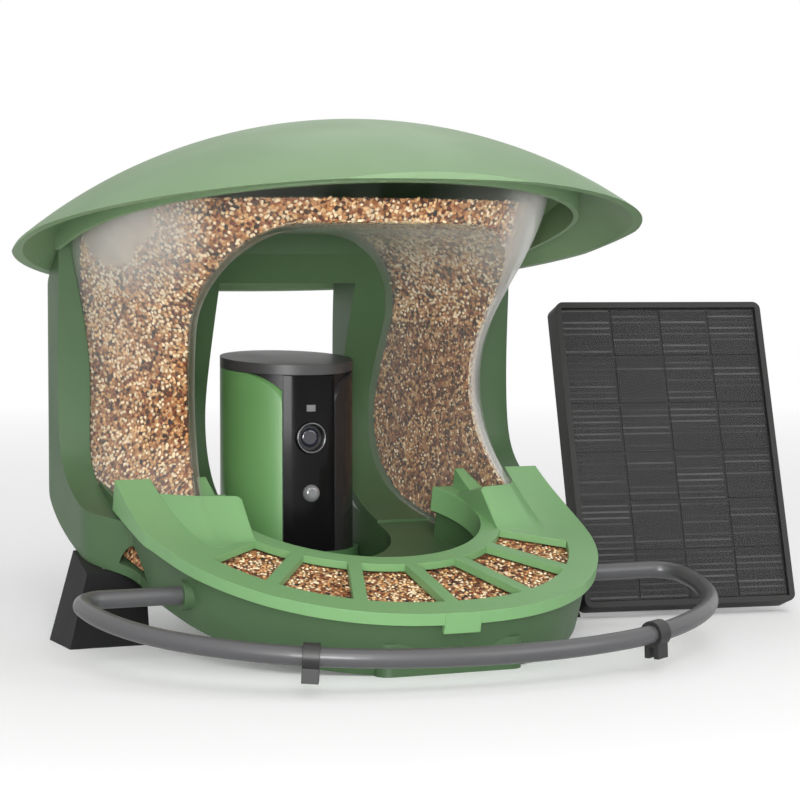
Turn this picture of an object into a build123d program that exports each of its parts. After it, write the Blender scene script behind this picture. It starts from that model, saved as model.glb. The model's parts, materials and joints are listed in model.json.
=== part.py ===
"""Smart bird feeder: an arched clear seed hopper over a sloping tray, a camera in the arch,
a domed roof hinged at the back, a wrap-round perch and a solar panel on its own stand.

Millimetres, +Z up, the feeder's front towards -Y. The origin is on the floor, at the mouth of
the pole socket under the feeder.
"""
from build123d import *
import os
from math import cos, pi, radians, sin, sqrt, tan

os.makedirs("parts", exist_ok=True)

# Clearances and the overrun of every cut
overrun = 400.0
seat_gap = 0.3
slip_gap = 0.5
move_gap = 1.2
pivot_gap = 0.05

# Tray: a rounded outline in a plane that falls towards the front
tray_slope_deg = 15.1
tray_level = 55.0
tray_half_width = 108.0
tray_reach = 133.0
tray_centre_y = 27.0
tray_power = 2.3
tray_outline_steps = 8
tray_back_y = 47.0
tray_plate = 3.5
tray_lip_depth = 5.5
tray_lip_wall = 3.0
ring_radius = 60.0
ring_centre_y = 19.5
ring_wall = 2.5
ring_skirt_depth = 12.0
window_inner_band = 9.0
window_outer_band = 13.0
window_fan_y = 31.0
window_count = 6
window_pitch_deg = 18.6
window_rib = 6.0
tab_width = 17.0
tab_depth = 9.5
tab_thickness = 2.4
apron_front_y = -16.0
apron_rise = 9.0
apron_inner_x = 64.0
seed_bed_half_deg = 57.5
mesh_thickness = 0.8
mesh_hole_radius = 1.6
mesh_rows = 2
mesh_row_pitch = 8.0
mesh_first_row = 74.0
mesh_row_holes = 11
mesh_hole_pitch_deg = 9.0

# Housing: one moulding of sloping base dish, curved back, camera shelf and plinth
housing_half_width = 119.0
housing_rear_y = 133.0
housing_corner = 22.0
housing_wall = 3.0
dish_depth = 31.0
dish_floor = 5.0
dish_draft_deg = 5.0
plinth_half_width = 34.0
plinth_front_y = -92.0
plinth_back_y = -52.0
plinth_height = 14.0
cheek_flare_y = 62.0
cheek_meet_y = 22.0
cheek_bury = 2.0
bridge_back_y = 47.0
top_pocket_half_width = 76.0
top_pocket_front_y = 106.0
top_pocket_back_y = 121.0
top_pocket_floor = 174.0
wall_hole_x = 92.0
wall_hole_z = 154.0
wall_hole_radius = 2.5
wall_hole_depth = 12.0

# Inner face of the curved back, from the top down, as (distance back, height)
back_face_points = ((85.0, 200.0), (99.0, 170.0), (109.0, 146.0), (118.0, 122.0),
                    (123.0, 100.0), (120.0, 81.0), (110.0, 66.0), (94.0, 56.0), (73.0, 49.0))
# Outer face of the back, from the top down
back_skin_points = ((125.0, 200.0), (130.0, 160.0), (131.0, 120.0), (127.0, 88.0),
                    (114.0, 64.0), (90.0, 49.0), (58.0, 39.0))
# Front edge of the side cheeks that hold the hopper, from the top down
cheek_edge_points = ((96.0, 200.0), (96.0, 150.0), (97.0, 106.0), (91.0, 82.0), (72.0, 67.0),
                     (46.0, 59.5), (24.0, 55.0))

# Camera bay: the window in the back and the shelf under it
bay_half_width = 36.0
bay_round_y = 64.0
bay_top = 166.0
shelf_top = 28.5
shelf_thickness = 5.5
shelf_front_y = 12.0
shelf_back_y = 141.0
shelf_cheek = 4.0
shelf_corner = 6.0

# Seed hopper: a clear shell lofted through plan outlines, with a tunnel through it
hopper_wall = 2.2
hopper_half_width = 117.0
hopper_back_y = 118.0
hopper_depth = 163.0
hopper_foot = 14.0
hopper_height = 236.0
# rows evenly spaced up the height: width and depth shares from the back corner to the front
hopper_rows = (
    ((0.990, 0.000), (0.940, 0.340), (0.850, 0.650), (0.610, 0.890), (0.000, 0.980)),
    ((0.978, 0.000), (0.918, 0.334), (0.810, 0.623), (0.572, 0.856), (0.000, 0.942)),
    ((0.953, 0.000), (0.844, 0.225), (0.692, 0.454), (0.448, 0.641), (0.000, 0.709)),
    ((0.951, 0.000), (0.837, 0.215), (0.684, 0.428), (0.434, 0.606), (0.000, 0.669)),
    ((0.972, 0.000), (0.914, 0.267), (0.786, 0.529), (0.511, 0.761), (0.000, 0.849)),
    ((0.994, 0.000), (0.978, 0.290), (0.887, 0.597), (0.585, 0.860), (0.000, 0.975)),
    ((1.000, 0.000), (1.000, 0.300), (0.930, 0.630), (0.620, 0.905), (0.000, 1.040)),
)
tunnel_front_y = -60.0
tunnel_back_y = 135.0
tunnel_front_half_width = 93.0
tunnel_back_half_width = 49.0
tunnel_top = 190.0
tunnel_foot = 6.0
tunnel_corner = 46.0
port_back_y = 48.0
seed_level = 204.0
seed_lift = 1.2
seed_headroom = 3.0

# Roof: a shell cut from a barrel-shaped dome, in a plane that falls towards the back
roof_half_width = 150.0
roof_half_depth = 124.0
roof_centre_y = 42.0
roof_rim_z = 186.0
roof_tilt_deg = 11.3
roof_rise = 53.0
roof_cross_radius = 245.0
roof_long_radius = 180.0
roof_side_margin = 6.0
roof_wall = 3.0
roof_power = 2.5
roof_outline_steps = 24
roof_clear = 2.0
skirt_offset = 4.0
skirt_wall = 2.4
skirt_bottom = 4.0
skirt_back_y = 84.0
seal_height = 1.7
hinge_y = 139.0
hinge_z = 172.0
pin_radius = 2.0
pin_head_radius = 3.2
pin_head = 1.5
knuckle_radius = 4.5
roof_knuckle_width = 12.0
body_knuckle_width = 10.0
hinge_x = 44.0
hinge_root_y = 126.0

# Perch: one round bar of arcs in a plane that rises towards the back
perch_radius = 4.0
perch_front_y = -141.0
perch_front_z = 15.0
perch_rise_deg = 7.4
perch_arcs = ((220.0, 15.0), (140.0, 30.0), (90.0, 45.0))
perch_return_radius = 12.0
perch_return_turn_deg = 90.0
perch_end_x = 88.5
socket_wall = 2.6
socket_inner_x = 84.0
socket_bottom_x = 88.0
socket_outer_x = 99.0
clip_facing_deg = 24.6
clip_width = 7.0
clip_prong = 2.4
clip_prong_gap = 2.4
clip_floor_z = 6.5
clip_ring_wall = 1.6

# Rear feet
foot_x = 112.0
foot_y = 55.0
foot_width = 38.0
foot_length = 34.0
foot_top_x = 107.0
foot_top_width = 24.0
foot_top_length = 28.0
foot_loft_height = 46.0
foot_screw_spread = 8.0
foot_screw_x = 112.0
foot_counterbore = 24.0
foot_screw_length = 22.0

# Pole socket under the feeder
pole_radius = 13.0
pole_depth = 20.0
sleeve_wall = 2.0
boss_wall = 3.0
boss_height = 26.0

# Small screws used all over
screw_radius = 1.5
screw_head_radius = 2.8
screw_head = 1.8

# Camera
camera_y = 104.0
camera_radius = 33.0
camera_height = 101.5
camera_drop = 5.5
cap_thickness = 5.0
cover_wall = 2.0
cover_foot = 3.0
core_clear = 0.1
core_wall = 2.0
core_floor = 3.0
front_half_deg = 24.0
rear_half_deg = 30.0
cover_split_deg = 0.8
cover_corner = 16.0
front_foot = 1.0
lens_height = 60.5
lens_ring_radius = 7.8
lens_ring_wall = 1.4
lens_ring_proud = 1.0
lens_barrel_radius = 6.2
lens_barrel_length = 12.3
lens_glass_radius = 4.6
lens_glass_depth = 2.4
lens_glass_round = 1.6
sensor_height = 33.5
sensor_radius = 4.4
sensor_depth = 4.6
sensor_round = 2.6
status_height = 75.0
status_width = 4.6
status_tall = 3.2
status_proud = 0.2
board_width = 40.0
board_height = 86.0
board_thickness = 1.6
board_forward = 17.0
battery_radius = 9.0
battery_length = 65.0
battery_spread = 10.5
battery_back = 9.0
speaker_radius = 7.0
speaker_depth = 4.0
speaker_forward = 7.5
dock_thickness = 1.5
dock_rim_height = 5.0
dock_rim_clear = 0.4
dock_screw_spread = 22.0
dock_screw_length = 6.5
port_height = 26.0
port_width = 16.0
port_tall = 11.0
port_inset = 3.4
port_block_depth = 3.5
port_block_wall = 3.0
socket_slot_width = 9.0
socket_slot_tall = 3.2
door_thickness = 2.0
door_stub_radius = 0.6
door_stub = 1.3
button_height = 58.0
button_radius = 5.0
button_flange = 1.4
button_flange_thickness = 1.2
button_proud = 1.4

# Solar panel on its stand
panel_x = 128.0
panel_y = 27.0
panel_turn_deg = -9.0
panel_lean_deg = 18.0
panel_lift = 6.0
panel_width = 112.0
panel_length = 158.0
panel_thickness = 14.0
panel_edge = 3.0
panel_corner = 4.0
panel_front_pocket = 3.2
panel_web = 2.0
panel_back_plate = 2.0
panel_screw_inset = 12.0
panel_post_radius = 4.0
cell_columns = 4
cell_rows = 6
cell_gap = 1.6
cell_thickness = 0.8
glass_thickness = 1.4
pivot_up = 66.0
pivot_back = 15.0
panel_pin_radius = 3.0
panel_pin_head_radius = 5.0
panel_pin_head = 2.0
lug_width = 5.0
lug_radius = 8.0
bracket_width = 46.0
bracket_tall = 34.0
bracket_plate = 3.0
bracket_screw_x = 18.5
bracket_screw_y = 12.0
bracket_screw_length = 6.0
mast_width = 14.0
mast_depth = 12.0
stand_length = 62.0
stand_width = 54.0
stand_thickness = 4.0
stand_shift = 7.0
stand_corner = 10.0
stand_hole_radius = 2.2
stand_hole_circle = 26.0
stand_hole_count = 4
knob_radius = 8.5
knob_thickness = 9.0
knob_lobes = 6
knob_lobe_radius = 2.4

# Planes and places worked out from the sizes
tray_plane = Plane(
    origin=(0, 0, tray_level),
    x_dir=(1, 0, 0),
    z_dir=(0, -sin(radians(tray_slope_deg)), cos(radians(tray_slope_deg))),
)
tray_side = Plane(origin=tray_plane.origin, x_dir=tray_plane.y_dir, z_dir=(1, 0, 0))
slope = tan(radians(tray_slope_deg))
roof_plane = Plane(
    origin=(0, roof_centre_y, roof_rim_z),
    x_dir=(1, 0, 0),
    z_dir=(0, sin(radians(roof_tilt_deg)), cos(radians(roof_tilt_deg))),
)
perch_plane = Plane(
    origin=(0, perch_front_y, perch_front_z),
    x_dir=(1, 0, 0),
    z_dir=(0, -sin(radians(perch_rise_deg)), cos(radians(perch_rise_deg))),
)
dish_top = -tray_plate - seat_gap
dish_floor_level = dish_floor - dish_depth
dish_inset = tray_lip_wall + slip_gap
bed_inset = dish_inset + housing_wall + dish_depth * tan(radians(dish_draft_deg)) + seat_gap
camera_floor = shelf_top + dock_thickness + seat_gap
camera_front = Plane(origin=(0, camera_y, camera_floor), x_dir=(1, 0, 0), z_dir=(0, -1, 0))
camera_rear = Plane(origin=(0, camera_y, camera_floor), x_dir=(-1, 0, 0), z_dir=(0, 1, 0))
core_radius = camera_radius - cover_wall - core_clear
core_inner = core_radius - core_wall
turn = radians(panel_turn_deg)
lean = radians(panel_lean_deg)
panel_across = Vector(cos(turn), sin(turn), 0)
panel_behind = Vector(-sin(turn), cos(turn), 0)
panel_up = panel_behind * sin(lean) + Vector(0, 0, 1) * cos(lean)
panel_normal = panel_across.cross(panel_up)
panel_foot = Vector(panel_x, panel_y, panel_lift) + panel_across * (panel_width / 2)
panel_plane = Plane(origin=panel_foot, x_dir=panel_across, z_dir=panel_normal)
panel_rear = Plane(
    origin=panel_foot - panel_normal * panel_thickness,
    x_dir=-panel_across,
    z_dir=-panel_normal,
)
pivot = panel_foot + panel_up * pivot_up - panel_normal * (panel_thickness + pivot_back)
lug_plane = Plane(origin=pivot, x_dir=-panel_normal, z_dir=panel_across)
stand_plane = Plane(origin=(pivot.X, pivot.Y, 0), x_dir=panel_across, z_dir=(0, 0, 1))


def keep(part: Part, name: str) -> None:
    """Name a finished piece and write it as its own file."""
    part.label = name
    export_step(part, f"parts/{name}.step")


def rounded_outline(a: float, b: float, power: float, turn_share: float):
    """A point of a rounded outline with half sizes a and b, at a share of a whole turn."""
    t = 2 * pi * turn_share
    c, s = cos(t), sin(t)
    x = a * abs(c) ** (2 / power)
    y = b * abs(s) ** (2 / power)
    return (x if c > 0 else -x, y if s > 0 else -y)


def tray_outline(inset: float) -> Sketch:
    """The tray's plan outline in its own plane: a rounded front and straight sides."""
    a = tray_half_width - inset
    b = tray_reach - inset
    points = []
    for i in range(2 * tray_outline_steps + 1):
        x, y = rounded_outline(a, b, tray_power, 1 - i / (4 * tray_outline_steps))
        points.append((x, tray_centre_y + y))
    back = tray_centre_y + overrun / 2
    with BuildSketch() as outline:
        with BuildLine():
            Spline(*points, tangents=((0, -1), (0, 1)))
            Polyline(points[-1], (points[-1][0], back), (points[0][0], back), points[0])
        make_face()
    return outline.sketch


def dish_form(inset: float, bottom: float) -> Part:
    """The dish under the tray, filled, narrowing down to a level of the tray's plane."""
    with BuildPart() as form:
        for level in (dish_top, bottom):
            with BuildSketch(tray_plane.offset(level)):
                add(tray_outline(inset + (dish_top - level) * tan(radians(dish_draft_deg))))
        loft(ruled=True)
    return form.part


def fan(start_deg: float, end_deg: float, rib: float) -> Sketch:
    """A wedge of the tray between two angles from its front, set in by half a rib."""
    half = radians(end_deg - start_deg) / 2
    middle = radians(start_deg + end_deg) / 2
    shift = rib / 2 / sin(half)
    apex_x = shift * sin(middle)
    apex_y = window_fan_y - shift * cos(middle)
    corners = [(apex_x, apex_y)]
    for angle in (middle - half, middle + half):
        corners.append((apex_x + overrun * sin(angle), apex_y - overrun * cos(angle)))
    with BuildSketch() as wedge:
        with BuildLine():
            Polyline(*corners, corners[0])
        make_face()
    return wedge.sketch


def bite(radius: float) -> Sketch:
    """The round bite in the back of the tray, for the camera."""
    with BuildSketch() as circle:
        with Locations((0, ring_centre_y)):
            Circle(radius)
    return circle.sketch


def hopper_outline(shares, inset: float):
    """Points of one hopper outline from the right back corner round the front to the left."""
    right = [(hopper_half_width * w, hopper_back_y - hopper_depth * d) for w, d in shares]
    points = right + [(-x, y) for x, y in reversed(right[:-1])]
    moved = []
    last = len(points) - 1
    for i, (x, y) in enumerate(points):
        x0, y0 = points[max(i - 1, 0)]
        x1, y1 = points[min(i + 1, last)]
        run = sqrt((x1 - x0) ** 2 + (y1 - y0) ** 2)
        moved.append((x + inset * (y1 - y0) / run, y - inset * (x1 - x0) / run))
    return moved


def hopper_form(inset: float) -> Part:
    """The hopper's outer form, drawn in by an inset and run out past its back."""
    back = hopper_back_y + overrun / 4
    with BuildPart() as form:
        for i, shares in enumerate(hopper_rows):
            share = i / (len(hopper_rows) - 1)
            points = hopper_outline(shares, inset)
            with BuildSketch(Plane.XY.offset(hopper_foot + hopper_height * share)):
                with BuildLine():
                    Spline(*points)
                    Polyline(points[-1], (points[-1][0], back), (points[0][0], back), points[0])
                make_face()
        loft()
    return form.part


def tunnel_half(y: float) -> float:
    """Half the width of the arched way at one place from front to back."""
    share = (y - tunnel_front_y) / (tunnel_back_y - tunnel_front_y)
    return tunnel_front_half_width + share * (tunnel_back_half_width - tunnel_front_half_width)


def tunnel_form(grow: float) -> Part:
    """The arched way through the hopper, wide at the front and narrow at the back."""
    with BuildPart() as way:
        for y in (tunnel_front_y, tunnel_back_y):
            wide = tunnel_half(y) + grow
            top = tunnel_top + grow
            with BuildSketch(Plane.XZ.offset(-y)):
                with BuildLine():
                    FilletPolyline(
                        (-wide, tunnel_foot),
                        (-wide, top),
                        (wide, top),
                        (wide, tunnel_foot),
                        radius=tunnel_corner + grow,
                    )
                    Line((wide, tunnel_foot), (-wide, tunnel_foot))
                make_face()
        loft(ruled=True)
    return way.part


def behind_curve(curve_points, forward: float) -> Part:
    """Everything behind and below a curve of the back, moved forward by a gap."""
    points = [(y - forward, z) for y, z in curve_points]
    first, last = points[0], points[-1]
    with BuildPart() as space:
        with BuildSketch(Plane.YZ):
            with BuildLine():
                Spline(*points)
                Polyline(last, (last[0], -overrun), (overrun, -overrun), (overrun, overrun),
                         (first[0], overrun), first)
            make_face()
        extrude(amount=overrun, both=True)
    return space.part


def below(plane: Plane, level: float) -> Part:
    """A block that fills all below one level of a plane."""
    with BuildPart() as block:
        with BuildSketch(plane.offset(level)):
            Rectangle(2 * overrun, 2 * overrun)
        extrude(amount=-overrun)
    return block.part


def above(plane: Plane, level: float) -> Part:
    """A block that fills all above one level of a plane."""
    with BuildPart() as block:
        with BuildSketch(plane.offset(level)):
            Rectangle(2 * overrun, 2 * overrun)
        extrude(amount=overrun)
    return block.part


def dome_form(shrink: float) -> Part:
    """The filled barrel-shaped dome of the roof, drawn in by a wall thickness."""
    reach = roof_half_width + roof_side_margin
    cross = roof_cross_radius - shrink
    axis_drop = roof_rise - roof_long_radius
    edge = roof_rise - roof_cross_radius + sqrt(cross ** 2 - reach ** 2)
    upright = Plane(origin=roof_plane.origin, x_dir=(1, 0, 0), z_dir=-roof_plane.y_dir)
    spin = Axis(roof_plane.origin + roof_plane.z_dir * axis_drop, (1, 0, 0))
    with BuildPart() as form:
        with BuildSketch(upright):
            with BuildLine():
                ThreePointArc((-reach, edge), (0, roof_rise - shrink), (reach, edge))
                Polyline((reach, edge), (reach, axis_drop), (-reach, axis_drop), (-reach, edge))
            make_face()
        revolve(axis=spin)
    return form.part


def roof_outline(inset: float) -> Sketch:
    """The roof's rounded plan outline in its own plane, drawn in by an inset."""
    a = roof_half_width - inset
    b = roof_half_depth - inset
    points = []
    for i in range(roof_outline_steps):
        points.append(rounded_outline(a, b, roof_power, (i + 0.5) / roof_outline_steps))
    with BuildSketch() as outline:
        with BuildLine():
            Spline(*points, periodic=True)
        make_face()
    return outline.sketch


def camera_strip(outer: float, inner: float, start_deg: float, end_deg: float) -> Sketch:
    """A curved strip of the camera's round plan between two angles from its front."""
    with BuildSketch() as strip:
        with BuildLine():
            out_arc = CenterArc((0, camera_y), outer, start_deg - 90, end_deg - start_deg)
            in_arc = CenterArc((0, camera_y), inner, start_deg - 90, end_deg - start_deg)
            Line(out_arc @ 0, in_arc @ 0)
            Line(out_arc @ 1, in_arc @ 1)
        make_face()
    return strip.sketch


def camera_top_plane(drop: float) -> Plane:
    """The camera's slanted top, lowered by a distance."""
    fall = camera_drop / (2 * camera_radius)
    middle = camera_floor + camera_height - camera_drop / 2 - drop
    return Plane(origin=(0, camera_y, middle), x_dir=(1, 0, 0), z_dir=(0, -fall, 1))


def rod(plane: Plane, places, start: float, length: float, radius: float) -> Part:
    """Round rods or holes at places of a plane, from a start level over a length."""
    with BuildPart() as rods:
        with BuildSketch(plane.offset(start)):
            with Locations(*places):
                Circle(radius)
        extrude(amount=length)
    return rods.part


def perch_place(facing_deg: float):
    """Where the perch bar faces a given angle, in the perch's plane, from the front's middle."""
    x, y, turned = 0.0, 0.0, 0.0
    for radius, angle in perch_bends:
        start = radians(turned)
        turned = min(turned + angle, facing_deg)
        x += radius * (sin(radians(turned)) - sin(start))
        y += radius * (cos(start) - cos(radians(turned)))
    return (x, y)


def screws(plane: Plane, places, length: float) -> Part:
    """Pan-head screws at places of a plane, their heads standing out of it."""
    return (rod(plane, places, 0, screw_head, screw_head_radius)
            + rod(plane, places, -length, length, screw_radius))


def hinge_arm(x: float, width: float, y0: float, y1: float, z0: float, z1: float) -> Part:
    """A hinge knuckle round the roof's pin line with an arm between two places."""
    with BuildPart() as arm:
        with BuildSketch(Plane.YZ.offset(x - width / 2)):
            with Locations((hinge_y, hinge_z)):
                Circle(knuckle_radius)
            with BuildLine():
                Polyline((y0, z0), (y1, z0), (y1, z1), (y0, z1), (y0, z0))
            make_face()
        extrude(amount=width)
    return arm.part


# Shared forms that several pieces are cut from
outer_form = hopper_form(0)
inner_form = hopper_form(hopper_wall)
seed_form = hopper_form(hopper_wall + seat_gap)
leg_clear_form = hopper_form(-seat_gap)
tray_clear_form = hopper_form(-move_gap)
behind_face = behind_curve(back_face_points, 0)
behind_hopper = behind_curve(back_face_points, seat_gap)
behind_seed = behind_curve(back_face_points, 2 * seat_gap)
behind_skin = behind_curve(back_skin_points, 0)
roof_outer = dome_form(0)
roof_inner = dome_form(roof_wall)
barrel_under_roof = dome_form(roof_wall + roof_clear)

# Perch path, in the perch's plane from the front's middle round to the right side
perch_bends = perch_arcs + ((perch_return_radius, perch_return_turn_deg),)
with BuildLine(perch_plane) as perch_path:
    facing = 0.0
    for radius, angle in perch_bends:
        start = radians(facing)
        JernArc(perch_place(facing), (cos(start), sin(start)), radius, angle)
        facing += angle
    Line(perch_place(facing), (perch_end_x, perch_place(facing)[1]))
perch_end = perch_path.line @ 1
perch_y = perch_end.Y
perch_z = perch_end.Z
socket_plane = Plane(origin=(0, perch_y, perch_z), x_dir=(0, 1, 0), z_dir=(1, 0, 0))

# Housing
boss_radius = pole_radius + sleeve_wall + boss_wall
foot_screw_places = [
    (side * foot_screw_x, foot_y + step)
    for side in (-1, 1)
    for step in (-foot_screw_spread, foot_screw_spread)
]
dock_screw_places = [(0, camera_y - dock_screw_spread), (0, camera_y + dock_screw_spread)]
foot_head_plane = Plane(origin=(0, 0, foot_counterbore), x_dir=(-1, 0, 0), z_dir=(0, 0, -1))
dock_head_plane = Plane(
    origin=(0, 0, shelf_top - shelf_thickness),
    x_dir=(-1, 0, 0),
    z_dir=(0, 0, -1),
)
with BuildPart() as back_plan:
    with BuildSketch():
        with BuildLine():
            wide = housing_half_width
            narrow = tray_half_width - dish_inset - cheek_bury
            flare = Spline(
                (wide, cheek_flare_y),
                (narrow, cheek_meet_y),
                tangents=((0, -1), (0, -1)),
            )
            mirror(flare, about=Plane.YZ)
            FilletPolyline(
                (wide, cheek_flare_y),
                (wide, housing_rear_y),
                (-wide, housing_rear_y),
                (-wide, cheek_flare_y),
                radius=housing_corner,
            )
            Line((narrow, cheek_meet_y), (-narrow, cheek_meet_y))
        make_face()
    extrude(amount=overrun)
with BuildPart() as body_form:
    with BuildSketch(Plane.YZ):
        with BuildLine():
            low_y = cheek_edge_points[-1][0]
            low_z = back_skin_points[-1][1] - slope * (back_skin_points[-1][0] - low_y)
            top_z = cheek_edge_points[0][1]
            Spline(*cheek_edge_points)
            Polyline(cheek_edge_points[-1], (low_y, low_z), back_skin_points[-1],
                     (housing_rear_y, back_skin_points[-1][1]), (housing_rear_y, top_z),
                     cheek_edge_points[0])
        make_face()
    extrude(amount=housing_half_width, both=True)
    add(back_plan.part, mode=Mode.INTERSECT)
    add(dish_form(dish_inset, -dish_depth))
    add(behind_skin, mode=Mode.SUBTRACT)
    with BuildSketch():
        with Locations((0, (plinth_front_y + plinth_back_y) / 2)):
            RectangleRounded(
                2 * plinth_half_width,
                plinth_back_y - plinth_front_y,
                shelf_corner,
            )
    extrude(amount=plinth_height)
    with BuildSketch():
        Circle(boss_radius)
    extrude(amount=boss_height)
    add(below(Plane.XY, 0), mode=Mode.SUBTRACT)
with BuildPart() as body_hollow:
    add(dish_form(dish_inset + housing_wall, dish_floor_level))
    add(leg_clear_form - below(tray_plane, dish_floor_level))
    add(behind_face, mode=Mode.SUBTRACT)
with BuildPart() as ring_wall_form:
    with BuildSketch(tray_plane.offset(dish_floor_level - seat_gap)):
        add(bite(ring_radius + ring_wall + slip_gap + ring_wall))
        add(bite(ring_radius + ring_wall + slip_gap), mode=Mode.SUBTRACT)
        with Locations((0, bridge_back_y)):
            Rectangle(
                2 * (tunnel_half(bridge_back_y) - slip_gap),
                2 * ring_wall,
            )
        add(bite(ring_radius + ring_wall + slip_gap), mode=Mode.SUBTRACT)
        with Locations((0, bridge_back_y + overrun / 2)):
            Rectangle(overrun, overrun, mode=Mode.SUBTRACT)
    extrude(amount=dish_top - dish_floor_level + seat_gap)
with BuildPart() as shelf_cheeks:
    with BuildSketch(Plane.XY.offset(shelf_top)):
        cheek_back = back_skin_points[3][0]
        for side in (-1, 1):
            with Locations((side * (bay_half_width + shelf_cheek / 2),
                            (shelf_front_y + shelf_corner + cheek_back) / 2)):
                Rectangle(shelf_cheek, cheek_back - shelf_front_y - shelf_corner)
    extrude(amount=tray_level - shelf_top)
    add(above(tray_plane, dish_floor_level - dish_floor / 2), mode=Mode.SUBTRACT)
with BuildPart() as housing:
    add(body_form.part)
    with BuildSketch(Plane.XY.offset(shelf_top - shelf_thickness)):
        with Locations((0, (shelf_front_y + shelf_back_y) / 2)):
            RectangleRounded(
                2 * (bay_half_width + shelf_cheek),
                shelf_back_y - shelf_front_y,
                shelf_corner,
            )
    extrude(amount=shelf_thickness)
    add(shelf_cheeks.part)
    add(body_hollow.part, mode=Mode.SUBTRACT)
    add(ring_wall_form.part)
    with BuildSketch(Plane.XY.offset(shelf_top)):
        with Locations((0, bay_round_y)):
            Circle(bay_half_width)
        with Locations((0, bay_round_y + overrun / 2)):
            Rectangle(2 * bay_half_width, overrun)
    extrude(amount=bay_top - shelf_top, mode=Mode.SUBTRACT)
    with BuildSketch(Plane.XY.offset(top_pocket_floor)):
        with Locations((0, (top_pocket_front_y + top_pocket_back_y) / 2)):
            Rectangle(2 * top_pocket_half_width, top_pocket_back_y - top_pocket_front_y)
    extrude(amount=overrun, mode=Mode.SUBTRACT)
    for side in (-1, 1):
        for step in (-1, 1):
            knuckle_x = side * hinge_x + step * (
                (roof_knuckle_width + body_knuckle_width) / 2 + slip_gap
            )
            add(hinge_arm(knuckle_x, body_knuckle_width, hinge_root_y, hinge_y,
                          hinge_z - knuckle_radius, hinge_z + knuckle_radius))
    add(rod(Plane.YZ, [(hinge_y, hinge_z)], -overrun, 2 * overrun, pin_radius + pivot_gap),
        mode=Mode.SUBTRACT)
    add(barrel_under_roof, mode=Mode.INTERSECT)
    for side in (-1, 1):
        add(rod(socket_plane, [(0, 0)], side * socket_inner_x,
                side * (socket_outer_x - socket_inner_x),
                perch_radius + pivot_gap + socket_wall))
        add(rod(socket_plane, [(0, 0)], side * socket_bottom_x, side * overrun,
                perch_radius + pivot_gap), mode=Mode.SUBTRACT)
    add(rod(Plane.XY, [(0, 0)], 0, pole_depth, pole_radius + sleeve_wall), mode=Mode.SUBTRACT)
    add(rod(Plane.XY, foot_screw_places, 0, foot_counterbore + foot_screw_length,
            screw_radius + pivot_gap), mode=Mode.SUBTRACT)
    add(rod(Plane.XY, dock_screw_places, 0, shelf_top, screw_radius + pivot_gap),
        mode=Mode.SUBTRACT)
    add(rod(Plane.XZ, [(-wall_hole_x, wall_hole_z), (wall_hole_x, wall_hole_z)],
            -overrun, overrun - back_skin_points[1][0] + wall_hole_depth, wall_hole_radius),
        mode=Mode.SUBTRACT)
keep(housing.part, "housing")

# Steel sleeve pressed into the pole socket
with BuildPart() as pole_sleeve:
    with BuildSketch():
        Circle(pole_radius + sleeve_wall)
    extrude(amount=pole_depth)
    with BuildSketch():
        Circle(pole_radius)
    extrude(amount=pole_depth - sleeve_wall, mode=Mode.SUBTRACT)
keep(pole_sleeve.part, "pole_sleeve")

# Clear hopper and the seed in it
tunnel_inside = tunnel_form(0)
tunnel_outside = tunnel_form(hopper_wall)
with BuildPart() as port:
    with BuildSketch(tray_plane.offset(dish_top)):
        with Locations((0, port_back_y - overrun / 2)):
            Rectangle(overrun, overrun)
    extrude(amount=-overrun)
with BuildPart() as seed_hopper:
    add(outer_form - (inner_form - tunnel_outside) - tunnel_inside)
    add(behind_hopper, mode=Mode.SUBTRACT)
    add(below(tray_plane, dish_floor_level + seat_gap), mode=Mode.SUBTRACT)
    add(port.part, mode=Mode.SUBTRACT)
    add(barrel_under_roof, mode=Mode.INTERSECT)
keep(seed_hopper.part, "seed_hopper")
with BuildPart() as seed_fill:
    add(seed_form - tunnel_form(hopper_wall + seat_gap))
    add(behind_seed, mode=Mode.SUBTRACT)
    add(below(tray_plane, dish_floor_level + seed_lift), mode=Mode.SUBTRACT)
    add(above(Plane.XY, seed_level), mode=Mode.SUBTRACT)
    add(dome_form(roof_wall + roof_clear + seed_headroom), mode=Mode.INTERSECT)
keep(seed_fill.part, "seed_fill")

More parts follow.
